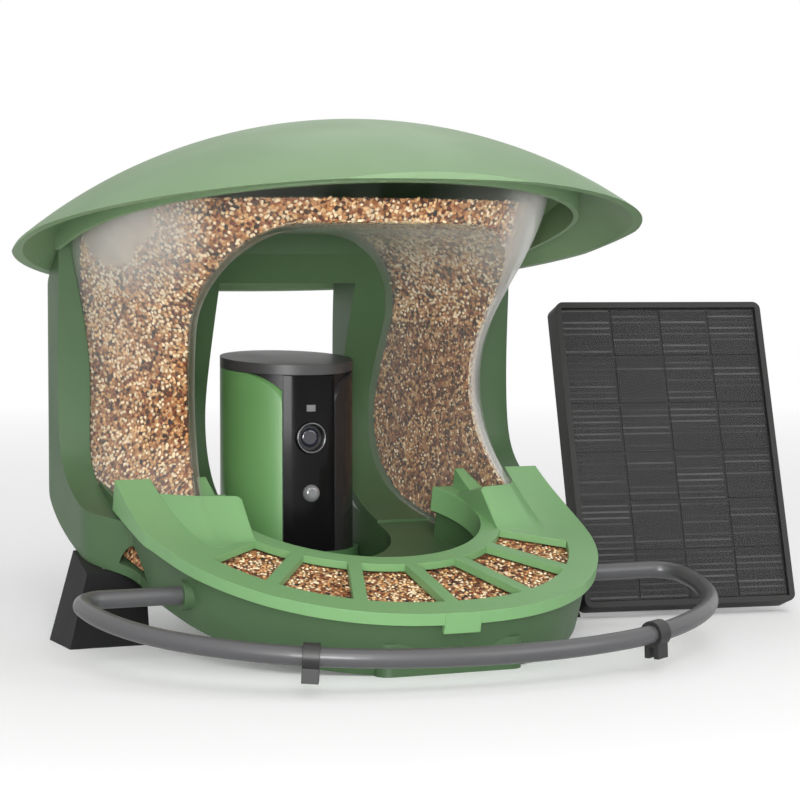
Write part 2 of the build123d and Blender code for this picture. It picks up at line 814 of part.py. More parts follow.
# Tray with its windows, lip, aprons, ring skirt and front tab
with BuildPart() as tray_aprons:
    with BuildSketch(tray_side.offset(-tray_half_width)):
        with BuildLine():
            rise = TangentArc((apron_front_y, 0), (tray_back_y, apron_rise), tangent=(1, 0))
            Polyline(rise @ 1, (tray_back_y, -tray_plate), (apron_front_y, -tray_plate),
                     (apron_front_y, 0))
        make_face()
    extrude(amount=2 * tray_half_width)
    with BuildSketch(tray_plane.offset(-overrun)):
        Rectangle(2 * apron_inner_x, overrun)
    extrude(amount=2 * overrun, mode=Mode.SUBTRACT)
    with BuildSketch(tray_plane.offset(-overrun)):
        add(tray_outline(0))
    extrude(amount=2 * overrun, mode=Mode.INTERSECT)
with BuildPart() as tray_grid:
    with BuildSketch(tray_plane):
        add(tray_outline(0))
    extrude(amount=-tray_lip_depth)
    with BuildSketch(tray_plane.offset(-tray_plate)):
        add(tray_outline(tray_lip_wall))
    extrude(amount=-overrun, mode=Mode.SUBTRACT)
    add(tray_aprons.part)
    with BuildSketch(tray_plane):
        add(bite(ring_radius + ring_wall))
    extrude(amount=-ring_skirt_depth)
    with BuildSketch(tray_plane.offset(-overrun)):
        add(bite(ring_radius))
    extrude(amount=2 * overrun, mode=Mode.SUBTRACT)
    with BuildSketch(tray_plane.offset(-overrun)):
        with Locations((0, tray_back_y + overrun / 2)):
            Rectangle(overrun, overrun)
    extrude(amount=2 * overrun, mode=Mode.SUBTRACT)
    with BuildSketch(tray_plane):
        with Locations((0, tray_centre_y - tray_reach + tab_thickness / 2)):
            Rectangle(tab_width, tab_thickness)
    extrude(amount=-tab_depth)
    for i in range(window_count):
        start_deg = (i - window_count / 2) * window_pitch_deg
        with BuildSketch(tray_plane):
            add(tray_outline(window_outer_band))
            add(bite(ring_radius + window_inner_band), mode=Mode.SUBTRACT)
            add(fan(start_deg, start_deg + window_pitch_deg, window_rib), mode=Mode.INTERSECT)
        extrude(amount=-tray_plate, mode=Mode.SUBTRACT)
    add(tray_clear_form - tunnel_form(-move_gap), mode=Mode.SUBTRACT)
keep(tray_grid.part, "tray_grid")

# Seed bed under the tray's windows, on a mesh over the dish floor
with BuildPart() as tray_seed_fill:
    with BuildSketch(tray_plane.offset(dish_floor_level + seat_gap + mesh_thickness + seat_gap)):
        add(tray_outline(bed_inset))
        add(bite(ring_radius + ring_wall + slip_gap + ring_wall + seat_gap), mode=Mode.SUBTRACT)
        add(fan(-seed_bed_half_deg, seed_bed_half_deg, 0), mode=Mode.INTERSECT)
    extrude(amount=dish_top - dish_floor_level - mesh_thickness - 2 * seat_gap)
    for side in (-1, 1):
        add(rod(socket_plane, [(0, 0)], side * (socket_inner_x - seat_gap), side * overrun,
                perch_radius + pivot_gap + socket_wall + seat_gap), mode=Mode.SUBTRACT)
keep(tray_seed_fill.part, "tray_seed_fill")
with BuildPart() as drain_mesh:
    with BuildSketch(tray_plane.offset(dish_floor_level + seat_gap)):
        add(tray_outline(bed_inset))
        add(bite(ring_radius + ring_wall + slip_gap + ring_wall + seat_gap), mode=Mode.SUBTRACT)
        add(fan(-seed_bed_half_deg, seed_bed_half_deg, 0), mode=Mode.INTERSECT)
        for row in range(mesh_rows):
            reach = mesh_first_row + row * mesh_row_pitch
            for i in range(mesh_row_holes):
                angle = radians((i - (mesh_row_holes - 1) / 2) * mesh_hole_pitch_deg)
                with Locations((reach * sin(angle), ring_centre_y - reach * cos(angle))):
                    Circle(mesh_hole_radius, mode=Mode.SUBTRACT)
    extrude(amount=mesh_thickness)
keep(drain_mesh.part, "drain_mesh")

# Roof with its collar and hinge knuckles, its seal and the hinge pins
with BuildPart() as roof_hollow:
    with BuildSketch(roof_plane):
        add(roof_outline(roof_wall))
    extrude(amount=overrun / 2)
    add(roof_inner, mode=Mode.INTERSECT)
with BuildPart() as roof_collar:
    with BuildSketch(Plane.XY.offset(hinge_z)):
        with BuildLine():
            outside = hopper_outline(hopper_rows[-1], -(skirt_offset + skirt_wall))
            inside = hopper_outline(hopper_rows[-1], -skirt_offset)
            Spline(*outside)
            Spline(*inside)
            Line(outside[0], inside[0])
            Line(outside[-1], inside[-1])
        make_face()
    extrude(amount=overrun / 2)
    add(roof_outer, mode=Mode.INTERSECT)
    add(below(roof_plane, skirt_bottom), mode=Mode.SUBTRACT)
    with BuildSketch():
        with Locations((0, skirt_back_y + overrun / 2)):
            Rectangle(overrun, overrun)
    extrude(amount=overrun, mode=Mode.SUBTRACT)
with BuildPart() as roof_knuckles:
    for side in (-1, 1):
        add(hinge_arm(side * hinge_x, roof_knuckle_width, hinge_y - knuckle_radius,
                      hinge_y + knuckle_radius, hinge_z, hinge_z + overrun / 4))
    add(roof_outer, mode=Mode.INTERSECT)
    add(rod(Plane.YZ, [(hinge_y, hinge_z)], -overrun, 2 * overrun, pin_radius + pivot_gap),
        mode=Mode.SUBTRACT)
with BuildPart() as roof:
    with BuildSketch(roof_plane):
        add(roof_outline(0))
    extrude(amount=overrun / 2)
    add(roof_outer, mode=Mode.INTERSECT)
    add(roof_hollow.part, mode=Mode.SUBTRACT)
    add(roof_collar.part)
    add(roof_knuckles.part)
keep(roof.part, "roof")
with BuildPart() as roof_seal:
    add(outer_form - inner_form)
    add(roof_inner, mode=Mode.INTERSECT)
    add(dome_form(roof_wall + seal_height), mode=Mode.SUBTRACT)
    with BuildSketch():
        with Locations((0, skirt_back_y + overrun / 2)):
            Rectangle(overrun, overrun)
    extrude(amount=overrun, mode=Mode.SUBTRACT)
keep(roof_seal.part, "roof_seal")
hinge_reach = roof_knuckle_width / 2 + slip_gap + body_knuckle_width
with BuildPart() as roof_hinge_pins:
    for side in (-1, 1):
        inner_end = side * hinge_x - hinge_reach
        add(rod(Plane.YZ, [(hinge_y, hinge_z)], inner_end, 2 * hinge_reach, pin_radius))
        add(rod(Plane.YZ, [(hinge_y, hinge_z)], inner_end - pin_head - seat_gap, pin_head,
                pin_head_radius))
        add(rod(Plane.YZ, [(hinge_y, hinge_z)], inner_end - seat_gap, seat_gap, pin_radius))
keep(roof_hinge_pins.part, "roof_hinge_pins")

# Perch bar, bent from one round rod, and its two clips
with BuildPart() as perch_bar:
    with BuildSketch(Plane(origin=perch_path.line @ 0, z_dir=(1, 0, 0))):
        Circle(perch_radius)
    sweep(path=perch_path.line)
    mirror(about=Plane.YZ)
keep(perch_bar.part, "perch_bar")
clip_turn = radians(clip_facing_deg)
clip_place = perch_place(clip_facing_deg)
with BuildPart() as perch_clips:
    for side in (-1, 1):
        centre = perch_plane.from_local_coords((side * clip_place[0], clip_place[1], 0))
        along = perch_plane.x_dir * cos(clip_turn) + perch_plane.y_dir * (side * sin(clip_turn))
        clip_plane = Plane(origin=centre, x_dir=Vector(-along.Y, along.X, 0), z_dir=along)
        leg = centre.Z - clip_floor_z
        with BuildSketch(clip_plane.offset(-clip_width / 2)):
            Circle(perch_radius + pivot_gap + clip_ring_wall)
            for edge in (-1, 1):
                with Locations((edge * (clip_prong + clip_prong_gap) / 2, -leg / 2)):
                    Rectangle(clip_prong, leg)
        extrude(amount=clip_width)
        add(rod(clip_plane, [(0, 0)], -clip_width, 2 * clip_width, perch_radius + pivot_gap),
            mode=Mode.SUBTRACT)
keep(perch_clips.part, "perch_clips")

# Rear feet and their screws
under_dish = above(tray_plane, -dish_depth)
for side, name in ((-1, "left_foot"), (1, "right_foot")):
    with BuildPart() as foot:
        with BuildSketch():
            with Locations((side * foot_x, foot_y)):
                Rectangle(foot_width, foot_length)
        with BuildSketch(Plane.XY.offset(foot_loft_height)):
            with Locations((side * foot_top_x, foot_y)):
                Rectangle(foot_top_width, foot_top_length)
        loft(ruled=True)
        add(under_dish, mode=Mode.SUBTRACT)
        add(rod(Plane.XY, foot_screw_places, 0, foot_counterbore, screw_head_radius + seat_gap),
            mode=Mode.SUBTRACT)
        add(rod(Plane.XY, foot_screw_places, 0, overrun, screw_radius + pivot_gap),
            mode=Mode.SUBTRACT)
    keep(foot.part, name)
foot_screw_mirror = [(-x, y) for x, y in foot_screw_places]
keep(screws(foot_head_plane, foot_screw_mirror, foot_screw_length), "foot_screws")

# Camera dock on the shelf
dock_radius = bay_half_width - seat_gap
with BuildPart() as camera_dock:
    with BuildSketch(Plane.XY.offset(shelf_top)):
        with Locations((0, camera_y)):
            Circle(dock_radius)
    extrude(amount=dock_thickness + dock_rim_height)
    with BuildSketch(Plane.XY.offset(shelf_top + dock_thickness)):
        with Locations((0, camera_y)):
            Circle(camera_radius + dock_rim_clear)
    extrude(amount=dock_rim_height, mode=Mode.SUBTRACT)
    add(rod(Plane.XY, dock_screw_places, 0, shelf_top + dock_thickness - seat_gap,
            screw_radius + pivot_gap), mode=Mode.SUBTRACT)
keep(camera_dock.part, "camera_dock")
keep(screws(dock_head_plane, dock_screw_places, dock_screw_length), "dock_screws")

# Camera core: a tube with a floor, the front openings, the port block and the button hole
under_cap = above(camera_top_plane(cap_thickness), 0)
port_plane = camera_rear.offset(core_radius - port_inset)
stub_height = port_height - port_tall / 2 + door_thickness / 2
stub_plane = Plane(
    origin=(0, camera_y + core_radius - port_inset + seat_gap + door_thickness / 2,
            camera_floor + stub_height),
    x_dir=(0, 1, 0),
    z_dir=(1, 0, 0),
)
with BuildPart() as camera_core:
    with BuildSketch(Plane.XY.offset(camera_floor)):
        with Locations((0, camera_y)):
            Circle(core_radius)
    extrude(amount=camera_height)
    with BuildSketch(Plane.XY.offset(camera_floor + core_floor)):
        with Locations((0, camera_y)):
            Circle(core_inner)
    extrude(amount=camera_height, mode=Mode.SUBTRACT)
    with BuildSketch(port_plane.offset(-port_block_depth)):
        with Locations((0, port_height)):
            Rectangle(port_width + 2 * (slip_gap + port_block_wall),
                      port_tall + 2 * (slip_gap + port_block_wall))
    extrude(amount=port_block_depth + core_wall)
    with BuildSketch(port_plane):
        with Locations((0, port_height)):
            Rectangle(port_width + 2 * slip_gap, port_tall + 2 * slip_gap)
    extrude(amount=overrun, mode=Mode.SUBTRACT)
    with BuildSketch(port_plane.offset(-port_block_depth + core_wall / 2)):
        with Locations((0, port_height)):
            Rectangle(socket_slot_width, socket_slot_tall)
    extrude(amount=port_block_depth, mode=Mode.SUBTRACT)
    add(rod(stub_plane, [(0, 0)], -(port_width / 2 + door_stub + seat_gap),
            port_width + 2 * (door_stub + seat_gap), door_stub_radius + pivot_gap),
        mode=Mode.SUBTRACT)
    add(rod(camera_rear, [(0, button_height)], 0, overrun, button_radius + seat_gap),
        mode=Mode.SUBTRACT)
    add(rod(camera_front, [(0, lens_height)], core_inner - core_wall, overrun,
            lens_barrel_radius + pivot_gap), mode=Mode.SUBTRACT)
    add(under_cap, mode=Mode.SUBTRACT)
keep(camera_core.part, "camera_core")

# Camera skins: black front, two side covers with a rounded top corner, and the cap
cover_top = above(camera_top_plane(cap_thickness + seat_gap), 0)
skin_inner = camera_radius - cover_wall
with BuildPart() as camera_front_glass:
    with BuildSketch(Plane.XY.offset(camera_floor + front_foot)):
        add(camera_strip(camera_radius, skin_inner, -front_half_deg, front_half_deg))
    extrude(amount=camera_height)
    add(cover_top, mode=Mode.SUBTRACT)
    add(rod(camera_front, [(0, lens_height)], 0, overrun, lens_ring_radius + pivot_gap),
        mode=Mode.SUBTRACT)
    add(rod(camera_front, [(0, sensor_height)], 0, overrun, sensor_radius + pivot_gap),
        mode=Mode.SUBTRACT)
    with BuildSketch(camera_front):
        with Locations((0, status_height)):
            Rectangle(status_width + 2 * pivot_gap, status_tall + 2 * pivot_gap)
    extrude(amount=overrun, mode=Mode.SUBTRACT)
keep(camera_front_glass.part, "camera_front_glass")
corner_y = camera_y - camera_radius * cos(radians(front_half_deg + cover_split_deg))
corner_fall = camera_drop / (2 * camera_radius)
corner_z = (camera_floor + camera_height - camera_drop / 2 - cap_thickness - seat_gap
            + corner_fall * (corner_y + cover_corner - camera_y))
with BuildPart() as corner_cut:
    with BuildSketch(Plane.YZ):
        with BuildLine():
            far_y = corner_y - cover_corner
            far_z = corner_z + cover_corner
            RadiusArc((corner_y, corner_z - cover_corner), (corner_y + cover_corner, corner_z),
                      cover_corner)
            Polyline((corner_y + cover_corner, corner_z), (corner_y + cover_corner, far_z),
                     (far_y, far_z), (far_y, corner_z - cover_corner),
                     (corner_y, corner_z - cover_corner))
        make_face()
    extrude(amount=overrun, both=True)
for side, name in ((-1, "camera_left_cover"), (1, "camera_right_cover")):
    first = side * (front_half_deg + cover_split_deg)
    last = side * (180 - rear_half_deg)
    with BuildPart() as cover:
        with BuildSketch(Plane.XY.offset(camera_floor + cover_foot)):
            add(camera_strip(camera_radius, skin_inner, min(first, last), max(first, last)))
        extrude(amount=camera_height)
        add(cover_top, mode=Mode.SUBTRACT)
        add(corner_cut.part, mode=Mode.SUBTRACT)
    keep(cover.part, name)
with BuildPart() as camera_top_cap:
    with BuildSketch(Plane.XY.offset(camera_floor)):
        with Locations((0, camera_y)):
            Circle(camera_radius)
    extrude(amount=camera_height)
    add(above(camera_top_plane(0), 0), mode=Mode.SUBTRACT)
    add(below(camera_top_plane(cap_thickness), 0), mode=Mode.SUBTRACT)
keep(camera_top_cap.part, "camera_top_cap")

# Lens barrel, ring and glass, motion sensor and status window
with BuildPart() as lens_barrel:
    add(rod(camera_front, [(0, lens_height)], core_radius + seat_gap - lens_barrel_length,
            lens_barrel_length, lens_barrel_radius))
    add(rod(camera_front, [(0, lens_height)], core_radius - cover_wall,
            overrun, lens_glass_radius + pivot_gap), mode=Mode.SUBTRACT)
keep(lens_barrel.part, "lens_barrel")
with BuildPart() as lens_ring:
    add(rod(camera_front, [(0, lens_height)], core_radius + seat_gap,
            cover_wall + lens_ring_proud, lens_ring_radius))
    add(rod(camera_front, [(0, lens_height)], core_radius,
            overrun, lens_ring_radius - lens_ring_wall), mode=Mode.SUBTRACT)
    chamfer(lens_ring.edges().group_by(Axis.Y)[0], length=lens_ring_wall / 3)
keep(lens_ring.part, "lens_ring")
with BuildPart() as lens_glass:
    add(rod(camera_front, [(0, lens_height)], core_radius - cover_wall + seat_gap,
            lens_glass_depth, lens_glass_radius))
    fillet(lens_glass.edges().group_by(Axis.Y)[0], radius=lens_glass_round)
keep(lens_glass.part, "lens_glass")
with BuildPart() as sensor_dome:
    add(rod(camera_front, [(0, sensor_height)], core_radius + pivot_gap,
            sensor_depth, sensor_radius))
    fillet(sensor_dome.edges().group_by(Axis.Y)[0], radius=sensor_round)
keep(sensor_dome.part, "sensor_dome")
with BuildPart() as status_window:
    with BuildSketch(camera_front.offset(core_radius + pivot_gap)):
        with Locations((0, status_height)):
            Rectangle(status_width, status_tall)
    extrude(amount=cover_wall + status_proud)
keep(status_window.part, "status_window")

# Inside the camera
with BuildPart() as camera_board:
    with BuildSketch(camera_front.offset(board_forward)):
        with Locations((0, core_floor + seat_gap + board_height / 2)):
            Rectangle(board_width, board_height)
    extrude(amount=board_thickness)
keep(camera_board.part, "camera_board")
inside_floor = Plane.XY.offset(camera_floor + core_floor + seat_gap)
battery_places = [(side * battery_spread, camera_y + battery_back) for side in (-1, 1)]
keep(rod(inside_floor, battery_places, 0, battery_length, battery_radius), "camera_batteries")
keep(rod(inside_floor, [(0, camera_y - speaker_forward)], 0, speaker_depth, speaker_radius),
     "camera_speaker")

# Power button and port cover on the camera's back
with BuildPart() as power_button:
    add(rod(camera_rear, [(0, button_height)], core_inner - button_flange_thickness - slip_gap,
            core_wall + button_flange_thickness + slip_gap + button_proud, button_radius))
    add(rod(camera_rear, [(0, button_height)],
            core_inner - button_flange_thickness - slip_gap - seat_gap,
            button_flange_thickness, button_radius + button_flange))
keep(power_button.part, "power_button")
with BuildPart() as port_cover:
    with BuildSketch(port_plane.offset(seat_gap)):
        with Locations((0, (stub_height + port_height + port_tall / 2) / 2)):
            Rectangle(port_width, port_height + port_tall / 2 - stub_height)
    extrude(amount=door_thickness)
    add(rod(stub_plane, [(0, 0)], -port_width / 2, port_width, door_thickness / 2))
    add(rod(stub_plane, [(0, 0)], -(port_width / 2 + door_stub),
            port_width + 2 * door_stub, door_stub_radius))
keep(port_cover.part, "port_cover")

# Solar panel
post_places = [
    (x, y)
    for x in (panel_screw_inset - panel_width / 2, panel_width / 2 - panel_screw_inset)
    for y in (panel_screw_inset, panel_length - panel_screw_inset)
]
bracket_places = [
    (x, pivot_up + y)
    for x in (-bracket_screw_x, bracket_screw_x)
    for y in (-bracket_screw_y, bracket_screw_y)
]
inner_width = panel_width - 2 * panel_edge
inner_length = panel_length - 2 * panel_edge
back_pocket = panel_thickness - panel_front_pocket - panel_web
with BuildPart() as panel_frame:
    with BuildSketch(panel_rear):
        with Locations((0, panel_length / 2)):
            RectangleRounded(panel_width, panel_length, panel_corner)
    extrude(amount=-panel_thickness)
    with BuildSketch(panel_plane):
        with Locations((0, panel_length / 2)):
            Rectangle(inner_width, inner_length)
    extrude(amount=-panel_front_pocket, mode=Mode.SUBTRACT)
    with BuildSketch(panel_rear):
        with Locations((0, panel_length / 2)):
            Rectangle(inner_width, inner_length)
    extrude(amount=-back_pocket, mode=Mode.SUBTRACT)
    add(rod(panel_rear, post_places, -back_pocket, back_pocket - panel_back_plate,
            panel_post_radius))
    add(rod(panel_rear, post_places, -back_pocket, overrun, screw_radius + pivot_gap),
        mode=Mode.SUBTRACT)
keep(panel_frame.part, "panel_frame")
with BuildPart() as panel_back_cover:
    with BuildSketch(panel_rear):
        with Locations((0, panel_length / 2)):
            Rectangle(inner_width - 2 * seat_gap, inner_length - 2 * seat_gap)
    extrude(amount=-(panel_back_plate - seat_gap))
    add(rod(panel_rear, post_places + bracket_places, -overrun, 2 * overrun,
            screw_radius + pivot_gap), mode=Mode.SUBTRACT)
keep(panel_back_cover.part, "panel_back_cover")
keep(screws(panel_rear, post_places, back_pocket - slip_gap), "panel_screws")
cell_pitch_x = inner_width / cell_columns
cell_pitch_y = inner_length / cell_rows
with BuildPart() as solar_cells:
    with BuildSketch(panel_plane.offset(-panel_front_pocket)):
        for column in range(cell_columns):
            for row in range(cell_rows):
                with Locations(((column + 0.5) * cell_pitch_x - inner_width / 2,
                                panel_edge + (row + 0.5) * cell_pitch_y)):
                    Rectangle(cell_pitch_x - cell_gap, cell_pitch_y - cell_gap)
    extrude(amount=cell_thickness)
keep(solar_cells.part, "solar_cells")
with BuildPart() as panel_glass:
    with BuildSketch(panel_plane.offset(-panel_front_pocket + cell_thickness + seat_gap)):
        with Locations((0, panel_length / 2)):
            Rectangle(inner_width - 2 * seat_gap, inner_length - 2 * seat_gap)
    extrude(amount=glass_thickness)
keep(panel_glass.part, "panel_glass")

# Bracket, pin, knob and stand of the panel
lug_start = mast_width / 2 + seat_gap
pin_reach = lug_start + lug_width + slip_gap
with BuildPart() as panel_bracket:
    with BuildSketch(panel_rear):
        with Locations((0, pivot_up)):
            RectangleRounded(bracket_width, bracket_tall, panel_corner)
    extrude(amount=bracket_plate)
    add(rod(panel_rear, bracket_places, 0, overrun, screw_radius + pivot_gap),
        mode=Mode.SUBTRACT)
keep(panel_bracket.part, "panel_bracket")
with BuildPart() as bracket_lugs:
    for start in (lug_start, -lug_start - lug_width):
        with BuildSketch(lug_plane.offset(start)):
            Circle(lug_radius)
            with Locations(((bracket_plate + seat_gap - pivot_back) / 2, 0)):
                Rectangle(pivot_back - bracket_plate - seat_gap, 2 * lug_radius)
        extrude(amount=lug_width)
    add(rod(lug_plane, [(0, 0)], -overrun, 2 * overrun, panel_pin_radius + pivot_gap),
        mode=Mode.SUBTRACT)
keep(bracket_lugs.part, "bracket_lugs")
keep(screws(panel_rear.offset(bracket_plate), bracket_places, bracket_screw_length),
     "bracket_screws")
with BuildPart() as panel_pivot_pin:
    add(rod(lug_plane, [(0, 0)], -pin_reach, 2 * pin_reach + knob_thickness / 2,
            panel_pin_radius))
    add(rod(lug_plane, [(0, 0)], -pin_reach - panel_pin_head, panel_pin_head,
            panel_pin_head_radius))
keep(panel_pivot_pin.part, "panel_pivot_pin")
lobe_places = [
    (knob_radius * cos(2 * pi * i / knob_lobes), knob_radius * sin(2 * pi * i / knob_lobes))
    for i in range(knob_lobes)
]
with BuildPart() as panel_knob:
    with BuildSketch(lug_plane.offset(pin_reach)):
        Circle(knob_radius)
        with Locations(*lobe_places):
            Circle(knob_lobe_radius)
    extrude(amount=knob_thickness)
    add(rod(lug_plane, [(0, 0)], pin_reach, knob_thickness / 2 + seat_gap,
            panel_pin_radius + pivot_gap), mode=Mode.SUBTRACT)
keep(panel_knob.part, "panel_knob")
stand_holes = [
    (stand_hole_circle * cos(pi * (2 * i + 1) / stand_hole_count),
     stand_shift + stand_hole_circle * sin(pi * (2 * i + 1) / stand_hole_count))
    for i in range(stand_hole_count)
]
with BuildPart() as panel_stand:
    with BuildSketch(stand_plane):
        with Locations((0, stand_shift)):
            RectangleRounded(stand_length, stand_width, stand_corner)
    extrude(amount=stand_thickness)
    with BuildSketch(stand_plane):
        Rectangle(mast_width, mast_depth)
    extrude(amount=pivot.Z)
    with BuildSketch(lug_plane.offset(-mast_width / 2)):
        Circle(lug_radius)
    extrude(amount=mast_width)
    add(rod(lug_plane, [(0, 0)], -overrun, 2 * overrun, panel_pin_radius + pivot_gap),
        mode=Mode.SUBTRACT)
    add(rod(stand_plane, stand_holes, -overrun, 2 * overrun, stand_hole_radius),
        mode=Mode.SUBTRACT)
keep(panel_stand.part, "panel_stand")
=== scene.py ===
"""Looks of a smart bird feeder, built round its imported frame.

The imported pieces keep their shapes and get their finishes. Made here are the seed, as separate
grains over a packed core, and two thin aprons of the tray. Lengths are metres in the frame's own
axes: +Z up, the feeder's front towards -Y, the origin on the floor at the pole socket.
"""
from __future__ import annotations

import json
import logging
import math
from dataclasses import dataclass
from enum import Enum
from functools import cache
from itertools import product

import bmesh
import bpy
import numpy as np
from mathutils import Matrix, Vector
from mathutils.bvhtree import BVHTree

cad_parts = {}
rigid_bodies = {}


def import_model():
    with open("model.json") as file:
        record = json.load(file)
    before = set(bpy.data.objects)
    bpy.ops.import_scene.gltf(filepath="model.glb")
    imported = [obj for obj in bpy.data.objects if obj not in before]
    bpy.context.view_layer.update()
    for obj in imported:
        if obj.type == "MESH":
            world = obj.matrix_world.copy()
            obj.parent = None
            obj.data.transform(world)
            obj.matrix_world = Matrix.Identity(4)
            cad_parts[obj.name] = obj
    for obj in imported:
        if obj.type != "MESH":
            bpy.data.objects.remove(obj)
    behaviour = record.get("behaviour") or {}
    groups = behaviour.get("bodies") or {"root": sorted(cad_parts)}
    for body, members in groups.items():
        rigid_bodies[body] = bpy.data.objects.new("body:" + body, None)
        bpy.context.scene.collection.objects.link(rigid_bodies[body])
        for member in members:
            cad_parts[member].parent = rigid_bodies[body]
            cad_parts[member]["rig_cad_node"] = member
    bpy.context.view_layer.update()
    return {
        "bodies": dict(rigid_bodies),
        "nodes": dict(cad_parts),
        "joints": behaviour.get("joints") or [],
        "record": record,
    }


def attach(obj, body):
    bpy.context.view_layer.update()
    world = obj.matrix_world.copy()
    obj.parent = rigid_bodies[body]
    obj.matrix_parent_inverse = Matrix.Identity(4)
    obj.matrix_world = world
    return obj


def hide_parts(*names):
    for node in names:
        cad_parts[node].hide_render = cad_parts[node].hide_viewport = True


LOG = logging.getLogger("feeder_looks")
Colour = tuple[float, float, float, float]
Place = tuple[float, float, float]
Arrays = tuple[np.ndarray, np.ndarray]
Socket = bpy.types.NodeSocket
Piece = bpy.types.Object
WHITE: Colour = (1.0, 1.0, 1.0, 1.0)
GRAIN_TINT = "grain_tint"
PANEL_UP: Place = (0.04834, 0.30521, 0.95106)
PANEL_ACROSS: Place = (0.98769, -0.15643, 0.0)


def seen(red: int, green: int, blue: int) -> Colour:
    """Turns a colour as it is seen into the linear numbers that shaders take.

    Args:
        red: Red from 0 to 255.
        green: Green from 0 to 255.
        blue: Blue from 0 to 255.

    Returns:
        Linear red, green, blue and an alpha of 1, by the sRGB curve.
    """
    return tuple(share / 12.92 if share <= 0.04045 else ((share + 0.055) / 1.055) ** 2.4
                 for share in (red / 255, green / 255, blue / 255)) + (1.0,)


class Tree:
    """Short ways to add and join the nodes of one shader tree."""

    def __init__(self, tree: bpy.types.NodeTree) -> None:
        """Keeps the tree that nodes are added to."""
        self.tree = tree

    def node(self, kind: str, inputs: dict | None = None, **settings) -> bpy.types.Node:
        """Adds one node.

        Args:
            kind: The node's type name without its ShaderNode prefix, or in full.
            inputs: Socket name to a value, or to an output socket to join.
            settings: Properties of the node itself.

        Returns:
            The new node.
        """
        full = kind if kind.startswith(("Shader", "NodeGroup")) else "ShaderNode" + kind
        made = self.tree.nodes.new(full)
        for key, value in settings.items():
            setattr(made, key, value)
        for key, value in (inputs or {}).items():
            self.feed(made.inputs[key], value)
        return made

    def feed(self, socket: Socket, value) -> None:
        """Sets a socket's value, or joins an output socket to it."""
        if isinstance(value, Socket):
            self.tree.links.new(value, socket)
        else:
            socket.default_value = value

    def maths(self, kind: str, first, second=0.0, third=None, clamp: bool = False) -> Socket:
        """Adds a Math node and gives its result."""
        made = self.node("Math", operation=kind, use_clamp=clamp)
        self.feed(made.inputs[0], first)
        self.feed(made.inputs[1], second)
        if third is not None:
            self.feed(made.inputs[2], third)
        return made.outputs[0]

    def measure(self, kind: str, first, second=None) -> Socket:
        """Adds a Vector Math node whose result is one number, and gives that number."""
        made = self.node("VectorMath", operation=kind)
        self.feed(made.inputs[0], first)
        if second is not None:
            self.feed(made.inputs[1], second)
        return made.outputs["Value"]

    def blend(self, share, first, second, kind: str = "MIX") -> Socket:
        """Adds a colour mix from first to second and gives its result."""
        made = self.node("Mix", data_type="RGBA", blend_type=kind)
        for number, value in ((0, share), (6, first), (7, second)):
            self.feed(made.inputs[number], value)
        return made.outputs[2]

    def relief(self, shader: bpy.types.Node, inputs: dict, **settings) -> None:
        """Adds a Bump node and joins it to a shader's normal."""
        bump = self.node("Bump", inputs, **settings)
        self.feed(shader.inputs["Normal"], bump.outputs["Normal"])

    def ramp(self, share, stops: list[tuple[float, Colour]], steps: bool = False):
        """Adds a colour ramp.

        Args:
            share: The socket that runs through the ramp.
            stops: Places from 0 to 1 with their colours.
            steps: True for hard steps between the colours.

        Returns:
            The ramp's colour socket.
        """
        made = self.node("ValToRGB", {"Fac": share})
        bands = made.color_ramp
        bands.interpolation = "CONSTANT" if steps else "LINEAR"
        while len(bands.elements) < len(stops):
            bands.elements.new(0.5)
        for element, (place, colour) in zip(bands.elements, stops):
            element.position = place
            element.color = colour
        return made.outputs["Color"]

    def show(self, surface: Socket, output: str = "OutputMaterial") -> None:
        """Joins a shader to the tree's output."""
        self.feed(self.node(output).inputs["Surface"], surface)


def emptied(block: bpy.types.Material | bpy.types.World) -> Tree:
    """Empties the shader tree of a material or a world and gives a helper for it."""
    block.use_nodes = True
    block.node_tree.nodes.clear()
    return Tree(block.node_tree)


class SocketKind(Enum):
    """Kinds of socket that the shared effects have."""

    NUMBER = "NodeSocketFloat"
    COLOUR = "NodeSocketColor"
    VECTOR = "NodeSocketVector"


NUMBER, COLOUR, VECTOR = SocketKind


